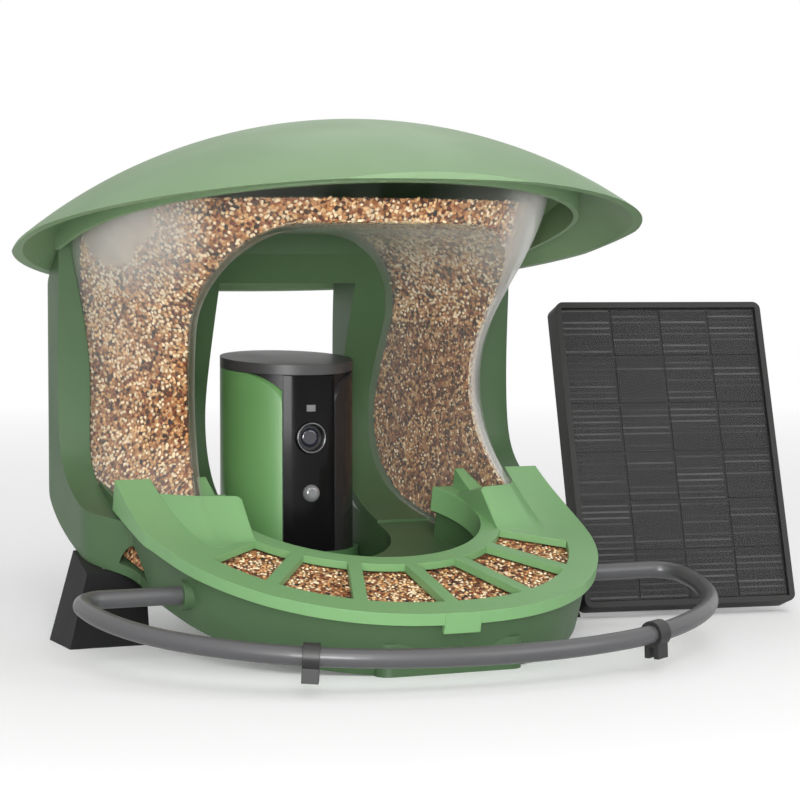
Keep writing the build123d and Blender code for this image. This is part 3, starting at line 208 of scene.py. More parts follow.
class Effects:
    """Effects that several finishes share, each a node group that is built once."""

    DRIFT_GAIN = 2.4
    DRIFT_START = -0.7
    TURN_GAIN = 6.0

    @staticmethod
    def _start(name: str, inputs: dict, outputs: dict):
        """Starts a node group with named sockets.

        Args:
            name: The group's name.
            inputs: Socket name to its kind and start value.
            outputs: Socket name to its kind.

        Returns:
            The tree helper, what the group is given and what it gives.
        """
        group = bpy.data.node_groups.new(name, "ShaderNodeTree")
        for key, (kind, start) in inputs.items():
            socket = group.interface.new_socket(key, in_out="INPUT", socket_type=kind.value)
            socket.default_value = start
        for key, kind in outputs.items():
            group.interface.new_socket(key, in_out="OUTPUT", socket_type=kind.value)
        tree = Tree(group)
        return tree, tree.node("NodeGroupInput").outputs, tree.node("NodeGroupOutput").inputs

    @staticmethod
    @cache
    def moulded_grain() -> bpy.types.NodeTree:
        """Fine even grain of a moulded surface, as a height and a slow tone."""
        tree, given, result = Effects._start(
            "moulded_grain",
            {"Size": (NUMBER, 0.0006), "Patch Size": (NUMBER, 0.04)},
            {"Height": NUMBER, "Tone": NUMBER},
        )
        place = tree.node("TexCoord").outputs["Object"]
        fine = tree.node("TexNoise", {"Vector": place, "Detail": 2.0, "Roughness": 0.55,
                                      "Scale": tree.maths("DIVIDE", 1.0, given["Size"])})
        slow = tree.node("TexNoise", {"Vector": place, "Detail": 3.0,
                                      "Scale": tree.maths("DIVIDE", 1.0, given["Patch Size"])})
        tree.feed(result["Height"], fine.outputs["Fac"])
        tree.feed(result["Tone"], slow.outputs["Fac"])
        return tree.tree

    @staticmethod
    @cache
    def tint_drift() -> bpy.types.NodeTree:
        """A slow drift between two tints of one colour."""
        tree, given, result = Effects._start(
            "tint_drift",
            {"Colour": (COLOUR, (0.5, 0.5, 0.5, 1)),
             "Other Colour": (COLOUR, (0.4, 0.4, 0.4, 1)),
             "Tone": (NUMBER, 0.5), "Amount": (NUMBER, 0.5)},
            {"Colour": COLOUR},
        )
        spread = tree.maths("MULTIPLY_ADD", given["Tone"], Effects.DRIFT_GAIN,
                            Effects.DRIFT_START)
        share = tree.maths("MULTIPLY", spread, given["Amount"], clamp=True)
        tree.feed(result["Colour"], tree.blend(share, given["Colour"], given["Other Colour"]))
        return tree.tree

    @staticmethod
    @cache
    def settled_dust() -> bpy.types.NodeTree:
        """Thin dust on what faces up, more in slow patches."""
        tree, given, result = Effects._start(
            "settled_dust",
            {"Colour": (COLOUR, (0.5, 0.5, 0.5, 1)),
             "Dust": (COLOUR, (0.6, 0.58, 0.52, 1)),
             "Tone": (NUMBER, 0.5), "Amount": (NUMBER, 0.2)},
            {"Colour": COLOUR, "Mask": NUMBER},
        )
        normal = tree.node("NewGeometry").outputs["Normal"]
        upward = tree.node("SeparateXYZ", {"Vector": normal}).outputs["Z"]
        lying = tree.maths("SMOOTH_MIN", tree.maths("MAXIMUM", upward, 0.0), 1.0)
        patch = tree.maths("MULTIPLY", given["Tone"], lying, clamp=True)
        mask = tree.maths("MULTIPLY", patch, given["Amount"], clamp=True)
        tree.feed(result["Mask"], mask)
        tree.feed(result["Colour"], tree.blend(mask, given["Colour"], given["Dust"]))
        return tree.tree

    @staticmethod
    @cache
    def edge_highlight_mask() -> bpy.types.NodeTree:
        """Mask of a painted highlight on edges: where a surface turns sharply, from its own
        normal and a rounded one.
        """
        tree, given, result = Effects._start(
            "edge_highlight_mask",
            {"Rounded Normal": (VECTOR, (0, 0, 1)), "Amount": (NUMBER, 0.3)},
            {"Mask": NUMBER},
        )
        close = tree.measure("DOT_PRODUCT", tree.node("NewGeometry").outputs["Normal"],
                             given["Rounded Normal"])
        turn = tree.maths("SUBTRACT", 1.0, close, clamp=True)
        steep = tree.maths("MULTIPLY", turn, Effects.TURN_GAIN, clamp=True)
        tree.feed(result["Mask"], tree.maths("MULTIPLY", steep, given["Amount"], clamp=True))
        return tree.tree


@dataclass(frozen=True)
class Finish:
    """What every finish has.

    Attributes:
        name: The finish's own name.
        slot: The record's material slot that it dresses.
    """

    name: str
    slot: str

    def build(self) -> bpy.types.Material:
        """Builds the material of this finish and gives it."""
        made = bpy.data.materials.new(self.name)
        tree = emptied(made)
        shader = tree.node("BsdfPrincipled")
        tree.show(shader.outputs["BSDF"])
        self.wire(tree, shader)
        return made

    def wire(self, tree: Tree, shader: bpy.types.Node) -> None:
        """Joins the finish's own nodes to its shader."""
        raise NotImplementedError(self.name)


@dataclass(frozen=True)
class SolidFinish(Finish):
    """A finish of plastic, rubber, coated or bare metal.

    Attributes:
        colour: The main colour.
        other: The colour that it drifts towards.
        drift: How far it drifts, from 0 to 1.
        roughness: Roughness of the bare finish.
        metallic: 1 for bare metal.
        grain: Grain size in metres.
        relief: Depth of the grain in metres.
        dust: Amount of dust on what faces up.
        painted_highlight: Amount of painted highlight, a lighter colour, on sharp edges.
        edge: Radius of the softened edges in metres.
        coat: Weight of a clear glossy coat.
        level: Strength of the mirror-like share.
    """

    colour: Colour
    other: Colour
    drift: float = 0.5
    roughness: float = 0.42
    metallic: float = 0.0
    grain: float = 0.0007
    relief: float = 0.00002
    dust: float = 0.05
    painted_highlight: float = 0.12
    edge: float = 0.0004
    coat: float = 0.0
    level: float = 0.5

    # Painted highlight: sharp edges take a lighter copy of the colour, made with these two
    # numbers.
    HIGHLIGHT_GAIN = 1.7
    HIGHLIGHT_LIFT = 0.03
    UNEVENNESS = 0.16

    def wire(self, tree: Tree, shader: bpy.types.Node) -> None:
        """Joins grain, drift, a painted highlight on sharp edges and dust to the shader."""
        grain = tree.node("Group", {"Size": self.grain}, node_tree=Effects.moulded_grain())
        tone = grain.outputs["Tone"]
        drift = tree.node("Group", {"Colour": self.colour, "Other Colour": self.other,
                                    "Tone": tone, "Amount": self.drift},
                          node_tree=Effects.tint_drift())
        rounded = tree.node("Bevel", {"Radius": self.edge}, samples=4).outputs["Normal"]
        # Painted highlight: a lighter colour where the surface turns sharply.
        painted_highlight = tree.node("Group", {"Rounded Normal": rounded, "Amount": self.painted_highlight},
                        node_tree=Effects.edge_highlight_mask())
        highlight_colour = tuple(min(1.0, value * self.HIGHLIGHT_GAIN + self.HIGHLIGHT_LIFT)
                        for value in self.colour[:3]) + (1.0,)
        highlighted = tree.blend(painted_highlight.outputs["Mask"], drift.outputs["Colour"], highlight_colour)
        dust = tree.node("Group", {"Colour": highlighted, "Tone": tone, "Amount": self.dust},
                         node_tree=Effects.settled_dust())
        tree.feed(shader.inputs["Base Color"], dust.outputs["Colour"])
        uneven = tree.maths("MULTIPLY_ADD", tone, self.UNEVENNESS,
                            self.roughness - self.UNEVENNESS / 2)
        tree.feed(shader.inputs["Roughness"],
                  tree.maths("ADD", uneven, dust.outputs["Mask"], clamp=True))
        tree.relief(shader, {"Height": grain.outputs["Height"], "Strength": 0.6,
                             "Distance": self.relief, "Normal": rounded})
        shader.inputs["Metallic"].default_value = self.metallic
        shader.inputs["Coat Weight"].default_value = self.coat
        shader.inputs["Coat Roughness"].default_value = 0.06
        shader.inputs["Specular IOR Level"].default_value = self.level


@dataclass(frozen=True)
class PaintedReflection:
    """A painted reflection: a whitish hazy place painted into a clear shell's cover.

    Attributes:
        middle: Its middle.
        radius: How far it reaches.
        cover: How much it covers in its middle.
    """

    middle: Place
    radius: float
    cover: float


@dataclass(frozen=True)
class ClearFinish(Finish):
    """A clear sheet or shell that turns hazier towards its rims.

    Attributes:
        colour: The colour of the haze and of the painted reflections.
        face: Cover seen face on, from 0 to 1.
        rim: Cover added towards the rims.
        roughness: Roughness of the surface.
        rim_power: How quickly the cover falls off from the rims.
        relief: Depth of the slow waves in the surface.
        painted_reflections: Places where a whitish reflection is painted into its cover.
    """

    colour: Colour
    face: float
    rim: float
    roughness: float
    rim_power: float = 3.0
    relief: float = 0.0003
    painted_reflections: tuple[PaintedReflection, ...] = ()

    PATCHINESS = 0.16
    REFLECTION_GAIN = 1.5
    MOST_COVER = 0.9

    def wire(self, tree: Tree, shader: bpy.types.Node) -> None:
        """Joins the rim haze, the painted reflections and the slow waves to the shader."""
        tone = tree.node("Group", {"Size": 0.004, "Patch Size": 0.05},
                         node_tree=Effects.moulded_grain()).outputs["Tone"]
        tree.feed(shader.inputs["Base Color"], self.colour)
        facing = tree.node("LayerWeight", {"Blend": 0.5}).outputs["Facing"]
        haze = tree.maths("MULTIPLY_ADD", tree.maths("POWER", facing, self.rim_power),
                          self.rim, self.face)
        patchy = tree.maths("MULTIPLY_ADD", tone, self.PATCHINESS, -self.PATCHINESS / 2)
        cover = tree.maths("ADD", haze, patchy)
        place = tree.node("TexCoord").outputs["Object"]
        # Each painted reflection adds whitish cover around its middle.
        for reflection in self.painted_reflections:
            away = tree.measure("DISTANCE", place, reflection.middle)
            near = tree.maths("SUBTRACT", 1.0, tree.maths("DIVIDE", away, reflection.radius),
                              clamp=True)
            soft = tree.maths("MULTIPLY", near, tree.maths("ADD", tone, 0.5))
            cover = tree.maths("ADD", cover,
                               tree.maths("MULTIPLY", soft, reflection.cover * self.REFLECTION_GAIN))
        tree.feed(shader.inputs["Alpha"],
                  tree.maths("MINIMUM", cover, self.MOST_COVER, clamp=True))
        tree.relief(shader, {"Height": tone, "Strength": 0.15, "Distance": self.relief})
        shader.inputs["Roughness"].default_value = self.roughness


@dataclass(frozen=True)
class LensFinish(Finish):
    """Coated dark lens glass, with a faint violet reflection of its coating painted towards the
    rim.

    Attributes:
        deep: The colour deep in the glass.
        painted_reflection_tint: The violet colour painted towards the rim, a painted reflection
            of the coating.
    """

    deep: Colour
    painted_reflection_tint: Colour

    def wire(self, tree: Tree, shader: bpy.types.Node) -> None:
        """Joins the painted violet reflection to the shader and adds the glossy coat."""
        # Painted reflection: the colour turns violet towards the rim.
        facing = tree.node("LayerWeight", {"Blend": 0.35}).outputs["Facing"]
        tree.feed(shader.inputs["Base Color"], tree.blend(facing, self.deep, self.painted_reflection_tint))
        shader.inputs["Roughness"].default_value = 0.04
        shader.inputs["Coat Weight"].default_value = 1.0
        shader.inputs["Coat Roughness"].default_value = 0.02


@dataclass(frozen=True)
class GrainFinish(Finish):
    """The skin of loose seed, with each grain's own tint."""

    HUSK_SHARE = 0.3
    HUSK_STOPS = [(0.3, (0.35, 0.3, 0.24, 1)), (0.7, WHITE)]

    def wire(self, tree: Tree, shader: bpy.types.Node) -> None:
        """Joins each grain's tint and its mottled husk to the shader."""
        tint = tree.node("Attribute", attribute_name=GRAIN_TINT).outputs["Color"]
        grain = tree.node("Group", {"Size": 0.0005, "Patch Size": 0.0012},
                          node_tree=Effects.moulded_grain())
        shade = tree.blend(self.HUSK_SHARE, WHITE,
                           tree.ramp(grain.outputs["Tone"], self.HUSK_STOPS))
        tree.feed(shader.inputs["Base Color"], tree.blend(1.0, tint, shade, "MULTIPLY"))
        tree.relief(shader, {"Height": grain.outputs["Height"], "Strength": 0.5,
                             "Distance": 0.0001})
        shader.inputs["Roughness"].default_value = 0.55
        shader.inputs["Specular IOR Level"].default_value = 0.35


@dataclass(frozen=True)
class PackedFinish(Finish):
    """Seed deep in the pile, as small cells in seed colours, darker than the grains on top as
    painted shade between the grains.

    Attributes:
        cell: The size of one cell in metres.
    """

    cell: float

    # Seed colours, darker overall than the grains' tints: painted shade in the gaps.
    SHADED_STOPS = [(0.0, seen(84, 52, 36)), (0.25, seen(140, 90, 58)), (0.5, seen(176, 128, 84)),
             (0.75, seen(206, 166, 120)), (0.9, seen(92, 66, 48))]

    def wire(self, tree: Tree, shader: bpy.types.Node) -> None:
        """Joins the cells' colours and their relief to the shader."""
        place = tree.node("TexCoord").outputs["Object"]
        cells = tree.node("TexVoronoi", {"Vector": place, "Scale": 1 / self.cell}).outputs
        pick = tree.node("SeparateColor", {"Color": cells["Color"]}).outputs[0]
        tree.feed(shader.inputs["Base Color"], tree.ramp(pick, self.SHADED_STOPS, steps=True))
        tree.relief(shader, {"Height": cells["Distance"], "Strength": 1.0, "Distance": 0.001},
                    invert=True)
        shader.inputs["Roughness"].default_value = 0.7


@dataclass(frozen=True)
class CellFinish(Finish):
    """Dark silicon with fine level lines across it.

    Attributes:
        base: The silicon's colour.
        line: The lines' colour.
        pitch: Distance between the lines in metres, up the panel.
        width: Distance between two columns of cells.
        middle: Where the panel's middle lies across it.
    """

    base: Colour
    line: Colour
    pitch: float
    width: float
    middle: float

    LINE_SHARE = 0.3
    CONTRAST = 1.6
    CLOUD_GAIN = 1.6

    @staticmethod
    def _steps(tree: Tree, place, way: Place, start: float,
               pitch: float) -> Socket:
        """Counts steps of one pitch along a direction."""
        along = tree.measure("DOT_PRODUCT", place, way)
        return tree.maths("DIVIDE", tree.maths("SUBTRACT", along, start), pitch)

    def wire(self, tree: Tree, shader: bpy.types.Node) -> None:
        """Joins the lines, uneven from cell to cell, to the shader."""
        place = tree.node("TexCoord").outputs["Object"]
        rise = self._steps(tree, place, PANEL_UP, 0.0, self.pitch)
        column = self._steps(tree, place, PANEL_ACROSS, self.middle, self.width)
        key = tree.node("CombineXYZ", {"X": tree.maths("FLOOR", column),
                                       "Y": tree.maths("FLOOR", rise)}).outputs[0]
        chance = tree.node("TexWhiteNoise", {"Vector": key}).outputs["Value"]
        stripe = tree.maths("LESS_THAN", tree.maths("FRACT", rise), self.LINE_SHARE)
        bright = tree.maths("MULTIPLY", stripe, tree.maths("POWER", chance, self.CONTRAST))
        cloud = tree.node("TexNoise", {"Vector": place, "Scale": 60.0,
                                       "Detail": 3.0}).outputs["Fac"]
        faint = tree.maths("MULTIPLY", bright,
                           tree.maths("MULTIPLY", cloud, self.CLOUD_GAIN), clamp=True)
        tree.feed(shader.inputs["Base Color"], tree.blend(faint, self.base, self.line))
        shader.inputs["Roughness"].default_value = 0.5
        shader.inputs["Specular IOR Level"].default_value = 0.2


SOLIDS = (  # name, slot, colour, colour it drifts to, and what differs from the usual
    # The housing's green is set darker than the tray's, down to the value of its shaded sides:
    # partly its own colour, partly painted shade.
    ("housing_plastic", "body_green", (66, 94, 60), (59, 85, 53), dict(roughness=0.46)),
    ("tray_plastic", "tray_green", (118, 162, 108), (108, 153, 100), dict(roughness=0.44)),
    ("roof_plastic", "roof_green", (117, 146, 107), (109, 138, 99), dict(roughness=0.5)),
    ("dock_plastic", "dock_green", (78, 118, 74), (70, 108, 66), {}),
    ("cover_plastic", "cover_green", (104, 152, 92), (94, 141, 84), dict(roughness=0.34)),
    # Painted shade: the right camera cover is coloured near black, not the green of the left
    # cover.
    ("cover_painted_shade", "camera_black", (44, 43, 44), (36, 35, 36),
     dict(roughness=0.22, relief=0.000002, dust=0.0, painted_highlight=0.0, level=0.3)),
    ("perch_coating", "perch_grey", (76, 76, 78), (66, 66, 68),
     dict(roughness=0.36, grain=0.0005, coat=0.15)),
    ("clip_plastic", "clip_black", (34, 34, 34), (28, 28, 28), {}),
    ("foot_rubber", "foot_black", (19, 19, 20), (15, 15, 16),
     dict(roughness=0.6, level=0.2, grain=0.0009, relief=0.00004)),
    ("camera_core_plastic", "camera_black", (26, 26, 27), (22, 22, 23), {}),
    ("camera_face_acrylic", "camera_face", (20, 19, 20), (15, 15, 16),
     dict(roughness=0.1, relief=0.000002, dust=0.0, painted_highlight=0.0, level=0.12)),
    ("cap_plastic", "cap_grey", (66, 66, 67), (56, 56, 57), {}),
    ("lens_ring_metal", "lens_metal", (120, 121, 123), (95, 96, 98),
     dict(roughness=0.25, metallic=1.0, relief=0.000003, painted_highlight=0.2)),
    ("sensor_plastic", "sensor_clear", (118, 119, 120), (98, 99, 100),
     dict(roughness=0.12, relief=0.000002, painted_highlight=0.0, coat=0.8)),
    ("status_plastic", "status_clear", (120, 121, 120), (104, 105, 104),
     dict(roughness=0.2, relief=0.000002, painted_highlight=0.0, coat=0.5)),
    ("board_mask", "board_green", (22, 92, 48), (18, 78, 40), dict(roughness=0.35)),
    ("battery_wrap", "battery_blue", (40, 84, 140), (34, 74, 126),
     dict(roughness=0.3, coat=0.4)),
    ("button_rubber", "button_rubber", (38, 38, 39), (32, 32, 33), dict(roughness=0.6)),
    ("panel_plastic", "panel_black", (42, 42, 42), (36, 36, 36),
     dict(roughness=0.45, level=0.2)),
    ("bracket_plastic", "bracket_black", (44, 44, 45), (38, 38, 39),
     dict(roughness=0.5, level=0.25)),
    ("knob_rubber", "knob_black", (34, 34, 35), (28, 28, 29),
     dict(roughness=0.62, grain=0.0008, relief=0.00005)),
    ("seal_rubber", "soft_seal", (52, 54, 52), (46, 48, 46), dict(roughness=0.65)),
    ("drawn_steel", "steel", (178, 178, 180), (150, 150, 153),
     dict(roughness=0.3, metallic=1.0, grain=0.0003, relief=0.00001, painted_highlight=0.0)),
)


class Palette:
    """Every finish of the feeder, built once and found by its name."""

    FINISHES = tuple(SolidFinish(name, slot, seen(*colour), seen(*other), **extra)
                     for name, slot, colour, other, extra in SOLIDS) + (
        # hopper_clear: whitish reflections painted on the hopper's upper left, upper right and
        # right side.
        ClearFinish("hopper_clear", "clear_plastic", seen(222, 221, 216), 0.01, 0.72, 0.12, 2.4,
                    painted_reflections=(PaintedReflection((0.12, 0.0, 0.205), 0.07, 0.6),
                          PaintedReflection((-0.125, 0.03, 0.2), 0.06, 0.45),
                          PaintedReflection((0.09, 0.0, 0.12), 0.04, 0.25))),
        ClearFinish("panel_film", "panel_glass", seen(44, 44, 44), 0.1, 0.12, 0.6, relief=0.0),
        LensFinish("lens_coating", "lens_glass", seen(18, 20, 28), seen(84, 80, 110)),
        GrainFinish("seed_grains", "seed"),
        PackedFinish("seed_packed", "seed", 0.0018),
        CellFinish("cell_silicon", "cell_dark", seen(42, 42, 42), seen(92, 92, 92),
                   pitch=0.0031, width=0.0265, middle=0.1782),
    )

    def __init__(self) -> None:
        """Builds every finish."""
        self.materials = {finish.name: finish.build() for finish in self.FINISHES}
        self.slots = {finish.name: finish.slot for finish in self.FINISHES}

    def dress(self, piece: Piece, finish: str) -> None:
        """Gives a piece one finish.

        Args:
            piece: The object to dress.
            finish: The finish's name.
        """
        piece.data.materials.clear()
        piece.data.materials.append(self.materials[finish])


def linked(name: str, data: bpy.types.ID) -> Piece:
    """Makes an object of a mesh, lamp or camera and links it to the scene."""
    made = bpy.data.objects.new(name, data)
    bpy.context.scene.collection.objects.link(made)
    return made


def mesh_piece(name: str, points: np.ndarray, faces: np.ndarray, smooth: bool = True):
    """Makes an object from arrays of points and of faces with equal corner counts.

    Args:
        name: The object's name.
        points: One row of x, y, z for each point.
        faces: One row of point numbers for each face.
        smooth: True for smooth shading.

    Returns:
        The new object, linked to the scene.
    """
    mesh = bpy.data.meshes.new(name)
    mesh.vertices.add(len(points))
    mesh.vertices.foreach_set("co", np.asarray(points, np.float32).ravel())
    corners = faces.shape[1]
    mesh.loops.add(faces.size)
    mesh.loops.foreach_set("vertex_index", faces.astype(np.int32).ravel())
    mesh.polygons.add(len(faces))
    mesh.polygons.foreach_set("loop_start", np.arange(0, faces.size, corners, dtype=np.int32))
    mesh.update(calc_edges=True)
    mesh.polygons.foreach_set("use_smooth", np.full(len(faces), smooth))
    mesh.validate()
    return linked(name, mesh)


def bmesh_piece(name: str, shape: bmesh.types.BMesh) -> Piece:
    """Makes a linked object of an edited shape and frees the shape."""
    mesh = bpy.data.meshes.new(name)
    shape.to_mesh(mesh)
    shape.free()
    return linked(name, mesh)


def node_triangles(node: Piece,
                   least: float = 1e-14) -> Arrays:
    """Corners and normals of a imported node's triangles.

    Args:
        node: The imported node.
        least: Size of a cross product under which a triangle is left out.

    Returns:
        Corners, shaped (count, 3, 3), and unit normals, shaped (count, 3).
    """
    mesh = node.data
    mesh.calc_loop_triangles()
    points = np.empty(len(mesh.vertices) * 3)
    mesh.vertices.foreach_get("co", points)
    points = points.reshape(-1, 3)
    index = np.empty(len(mesh.loop_triangles) * 3, np.int32)
    mesh.loop_triangles.foreach_get("vertices", index)
    corners = points[index.reshape(-1, 3)]
    normals = np.cross(corners[:, 1] - corners[:, 0], corners[:, 2] - corners[:, 0])
    size = np.linalg.norm(normals, axis=1)
    keep = size > least
    return corners[keep], normals[keep] / size[keep, None]


def node_tree_of(node: Piece) -> BVHTree:
    """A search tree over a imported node's mesh."""
    mesh = node.data
    return BVHTree.FromPolygons([v.co[:] for v in mesh.vertices],
                                [p.vertices[:] for p in mesh.polygons])


class GrainShape(Enum):
    """Shapes that a grain can have."""

    ROUND = "round"
    SPINDLE = "spindle"


@dataclass(frozen=True)
class GrainKind:
    """One kind of grain in the mix.

    Attributes:
        share: Its share of all grains.
        half: Half sizes in metres, longest first.
        shape: Its shape.
        tints: Colours that it is found in.
        dark: True for a kind that lies in dark clusters.
    """

    share: float
    half: tuple[float, float, float]
    shape: GrainShape
    tints: tuple[Colour, ...]
    dark: bool = False


CREAM = seen(252, 232, 196)
STRAW = seen(238, 198, 146)
TAN = seen(212, 156, 102)
OCHRE = seen(170, 108, 60)
RUST = seen(122, 62, 40)
BARK = seen(78, 46, 32)
NIGHT = seen(44, 36, 34)
MIX = (
    GrainKind(0.52, (0.00108, 0.00098, 0.0009), GrainShape.ROUND, (CREAM, STRAW, CREAM, TAN)),
    GrainKind(0.24, (0.0011, 0.00096, 0.0009), GrainShape.ROUND, (RUST, OCHRE, TAN, OCHRE),
              dark=True),
    GrainKind(0.13, (0.0016, 0.0009, 0.0008), GrainShape.SPINDLE, (STRAW, CREAM, CREAM)),
    GrainKind(0.11, (0.0017, 0.0011, 0.0009), GrainShape.SPINDLE, (NIGHT, BARK, RUST),
              dark=True),
)


class GrainBuilder:
    """Builds many grains as one mesh, each with its own turn, size and tint."""

    ROUND_RADIUS = 1.12
    SPINDLE_TAPER = 1.2
    SPINDLE_LEAN = 0.18
    SIZES = (0.88, 1.12)
    BRIGHTNESSES = (0.8, 1.15)
    MOST_SUNK = 0.0004
    LEAST_ROOM = 0.8
    TILT = 0.28
    CLUSTER_WAVES = np.array([(151.0, 67.0, 93.0), (-83.0, 139.0, 171.0),
                              (97.0, -121.0, 59.0)])
    CLUSTER_STARTS = (0.3, 1.7, 2.9)
    CLUSTER_GAIN = 1.7
    CLUSTER_RANGE = (0.12, 2.6)

    def __init__(self, seed: int) -> None:
        """Starts the builder's own random numbers."""
        self.chance = np.random.default_rng(seed)
        self.forms = {GrainShape.ROUND: self._round(), GrainShape.SPINDLE: self._spindle()}

    @classmethod
    def _round(cls) -> Arrays:
        """Points and triangles of a round grain of about radius 1."""
        points = np.concatenate([np.eye(3), -np.eye(3)])
        faces = []
        for a, b, c in product((0, 3), (1, 4), (2, 5)):
            outward = np.dot(np.cross(points[b] - points[a], points[c] - points[a]), points[a])
            faces.append((a, b, c) if outward > 0 else (a, c, b))
        return points * cls.ROUND_RADIUS, np.array(faces)

    @classmethod
    def _spindle(cls, rings: int = 2, sides: int = 5) -> Arrays:
        """Points and triangles of a pointed grain of half sizes 1."""
        points = [(1.0, 0.0, 0.0)]
        for ring in range(rings):
            angle = math.pi * (ring + 1) / (rings + 1)
            girth = (math.sin(angle) ** cls.SPINDLE_TAPER
                     * (1 + cls.SPINDLE_LEAN * math.cos(angle)))
            for side in range(sides):
                around = 2 * math.pi * side / sides
                points.append((math.cos(angle), girth * math.cos(around),
                               girth * math.sin(around)))
        points.append((-1.0, 0.0, 0.0))
        last = len(points) - 1
        faces = []
        for side in range(sides):
            after = (side + 1) % sides
            faces.append((0, 1 + side, 1 + after))
            faces.append((last, last - sides + after, last - sides + side))
            for ring in range(rings - 1):
                a = 1 + ring * sides + side
                b = 1 + ring * sides + after
                faces += [(a, a + sides, b + sides), (a, b + sides, b)]
        return np.array(points, float), np.array(faces)

    def build(self, name: str, places: np.ndarray, normals: np.ndarray,
              inside: BVHTree) -> Piece:
        """Lays grains at places of a surface, just under it.

        Args:
            name: The new object's name.
            places: Points on the surface.
            normals: The surface's normals there.
            inside: Search tree of the surface, which the grains stay under.

        Returns:
            One object that holds all the grains.
        """
        picks = self._picks(places)
        points, faces, tints = [], [], []
        count = 0
        for place, normal, pick in zip(places, normals, picks):
            kind = MIX[pick]
            form, triangles = self.forms[kind.shape]
            half = np.array(kind.half) * self.chance.uniform(*self.SIZES)
            axes = self._axes(normal)
            reach = math.sqrt(float(np.sum((half * (axes @ normal)) ** 2)))
            centre = place - normal * (reach + self.chance.uniform(0.0, self.MOST_SUNK))
            near = inside.find_nearest(centre)
            if near[3] is not None and near[3] < half[2] * self.LEAST_ROOM:
                self.chance.uniform()
                continue
            points.append(centre + (form * half) @ axes)
            faces.append(triangles + count)
            colour = np.array(kind.tints[self.chance.integers(len(kind.tints))])
            colour[:3] *= self.chance.uniform(*self.BRIGHTNESSES)
            tints.append(np.tile(colour, (len(form), 1)))
            count += len(form)
        piece = mesh_piece(name, np.concatenate(points), np.concatenate(faces))
        layer = piece.data.color_attributes.new(GRAIN_TINT, "FLOAT_COLOR", "POINT")
        layer.data.foreach_set("color", np.concatenate(tints).astype(np.float32).ravel())
        LOG.info("%s: %d grains", name, len(points))
        return piece

    def _picks(self, places: np.ndarray) -> np.ndarray:
        """Kind of the grain at each place, with the dark kinds lying in slow clusters."""
        slow = np.sin(places @ self.CLUSTER_WAVES.T + self.CLUSTER_STARTS).mean(axis=1)
        clusters = np.clip(1.0 + self.CLUSTER_GAIN * slow, *self.CLUSTER_RANGE)
        shares = np.array([[kind.share] for kind in MIX]) * np.ones(len(places))
        shares[[kind.dark for kind in MIX]] *= clusters
        edges = np.cumsum(shares / shares.sum(axis=0), axis=0)
        return np.minimum((self.chance.uniform(size=len(places)) > edges).sum(axis=0),
                          len(MIX) - 1)

    def _axes(self, normal: np.ndarray) -> np.ndarray:
        """Rows of a grain's axes, the shortest one near the surface's normal."""
        lean = normal + self.chance.normal(0, self.TILT, 3)
        lean /= np.linalg.norm(lean)
        along = np.cross(lean, self.chance.normal(0, 1, 3))
        along /= np.linalg.norm(along)
        return np.array([along, np.cross(lean, along), lean])


def spread_points(corners: np.ndarray, normals: np.ndarray, gap: float,
                  chance: np.random.Generator,
                  tries_each: float = 3.2) -> Arrays:
    """Spreads points over triangles, none nearer to another than a gap.

    Args:
        corners: The triangles' corners.
        normals: The triangles' normals.
        gap: Least distance between two points.
        chance: The random numbers to use.
        tries_each: Points tried on each square with the gap as its side.

    Returns:
        The points and their normals.
    """
    areas = 0.5 * np.linalg.norm(np.cross(corners[:, 1] - corners[:, 0],
                                          corners[:, 2] - corners[:, 0]), axis=1)
    tries = int(areas.sum() / gap ** 2 * tries_each)
    index = chance.choice(len(areas), tries, p=areas / areas.sum())
    u, v = chance.uniform(size=tries), chance.uniform(size=tries)
    fold = u + v > 1
    u[fold], v[fold] = 1 - u[fold], 1 - v[fold]
    tri = corners[index]
    spots = (tri[:, 0] + u[:, None] * (tri[:, 1] - tri[:, 0])
             + v[:, None] * (tri[:, 2] - tri[:, 0]))
    around = list(product((-1, 0, 1), repeat=3))
    cells: dict[tuple[int, int, int], list[int]] = {}
    kept = []
    for i, key in enumerate(map(tuple, np.floor(spots / gap).astype(int))):
        steps = (spots[i] - spots[other] for x, y, z in around
                 for other in cells.get((key[0] + x, key[1] + y, key[2] + z), ()))
        if all(step @ step >= gap * gap for step in steps):
            cells.setdefault(key, []).append(i)
            kept.append(i)
    kept = np.array(kept)
    return spots[kept], normals[index[kept]]


def packed_core(name: str, node: Piece, depth: float) -> Piece:
    """Copies a node's mesh, drawn in by a depth.

    Args:
        name: The new object's name.
        node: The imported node.
        depth: How far the copy lies inside the node.

    Returns:
        The new object.
    """
    shape = bmesh.new()
    shape.from_mesh(node.data)
    bmesh.ops.remove_doubles(shape, verts=shape.verts, dist=1e-6)
    shape.normal_update()
    moves = [(vertex, vertex.normal.copy()) for vertex in shape.verts]
    for vertex, normal in moves:
        vertex.co -= normal * depth
    return bmesh_piece(name, shape)


@dataclass
class SubAssembly:
    """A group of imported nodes. FINISHES holds the finish of each.

    Attributes:
        frame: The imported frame.
        palette: The finishes.
    """

    frame: dict
    palette: Palette

    FINISHES = {}

    def node(self, name: str) -> Piece:
        """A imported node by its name."""
        return self.frame["nodes"][name]

    def dress(self) -> None:
        """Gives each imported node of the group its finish."""
        for name, finish in self.FINISHES.items():
            self.palette.dress(self.node(name), finish)
            LOG.info("%s: %s", name, finish)

    def build(self) -> None:
        """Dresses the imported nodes. Groups with pieces of their own add them here."""
        self.dress()


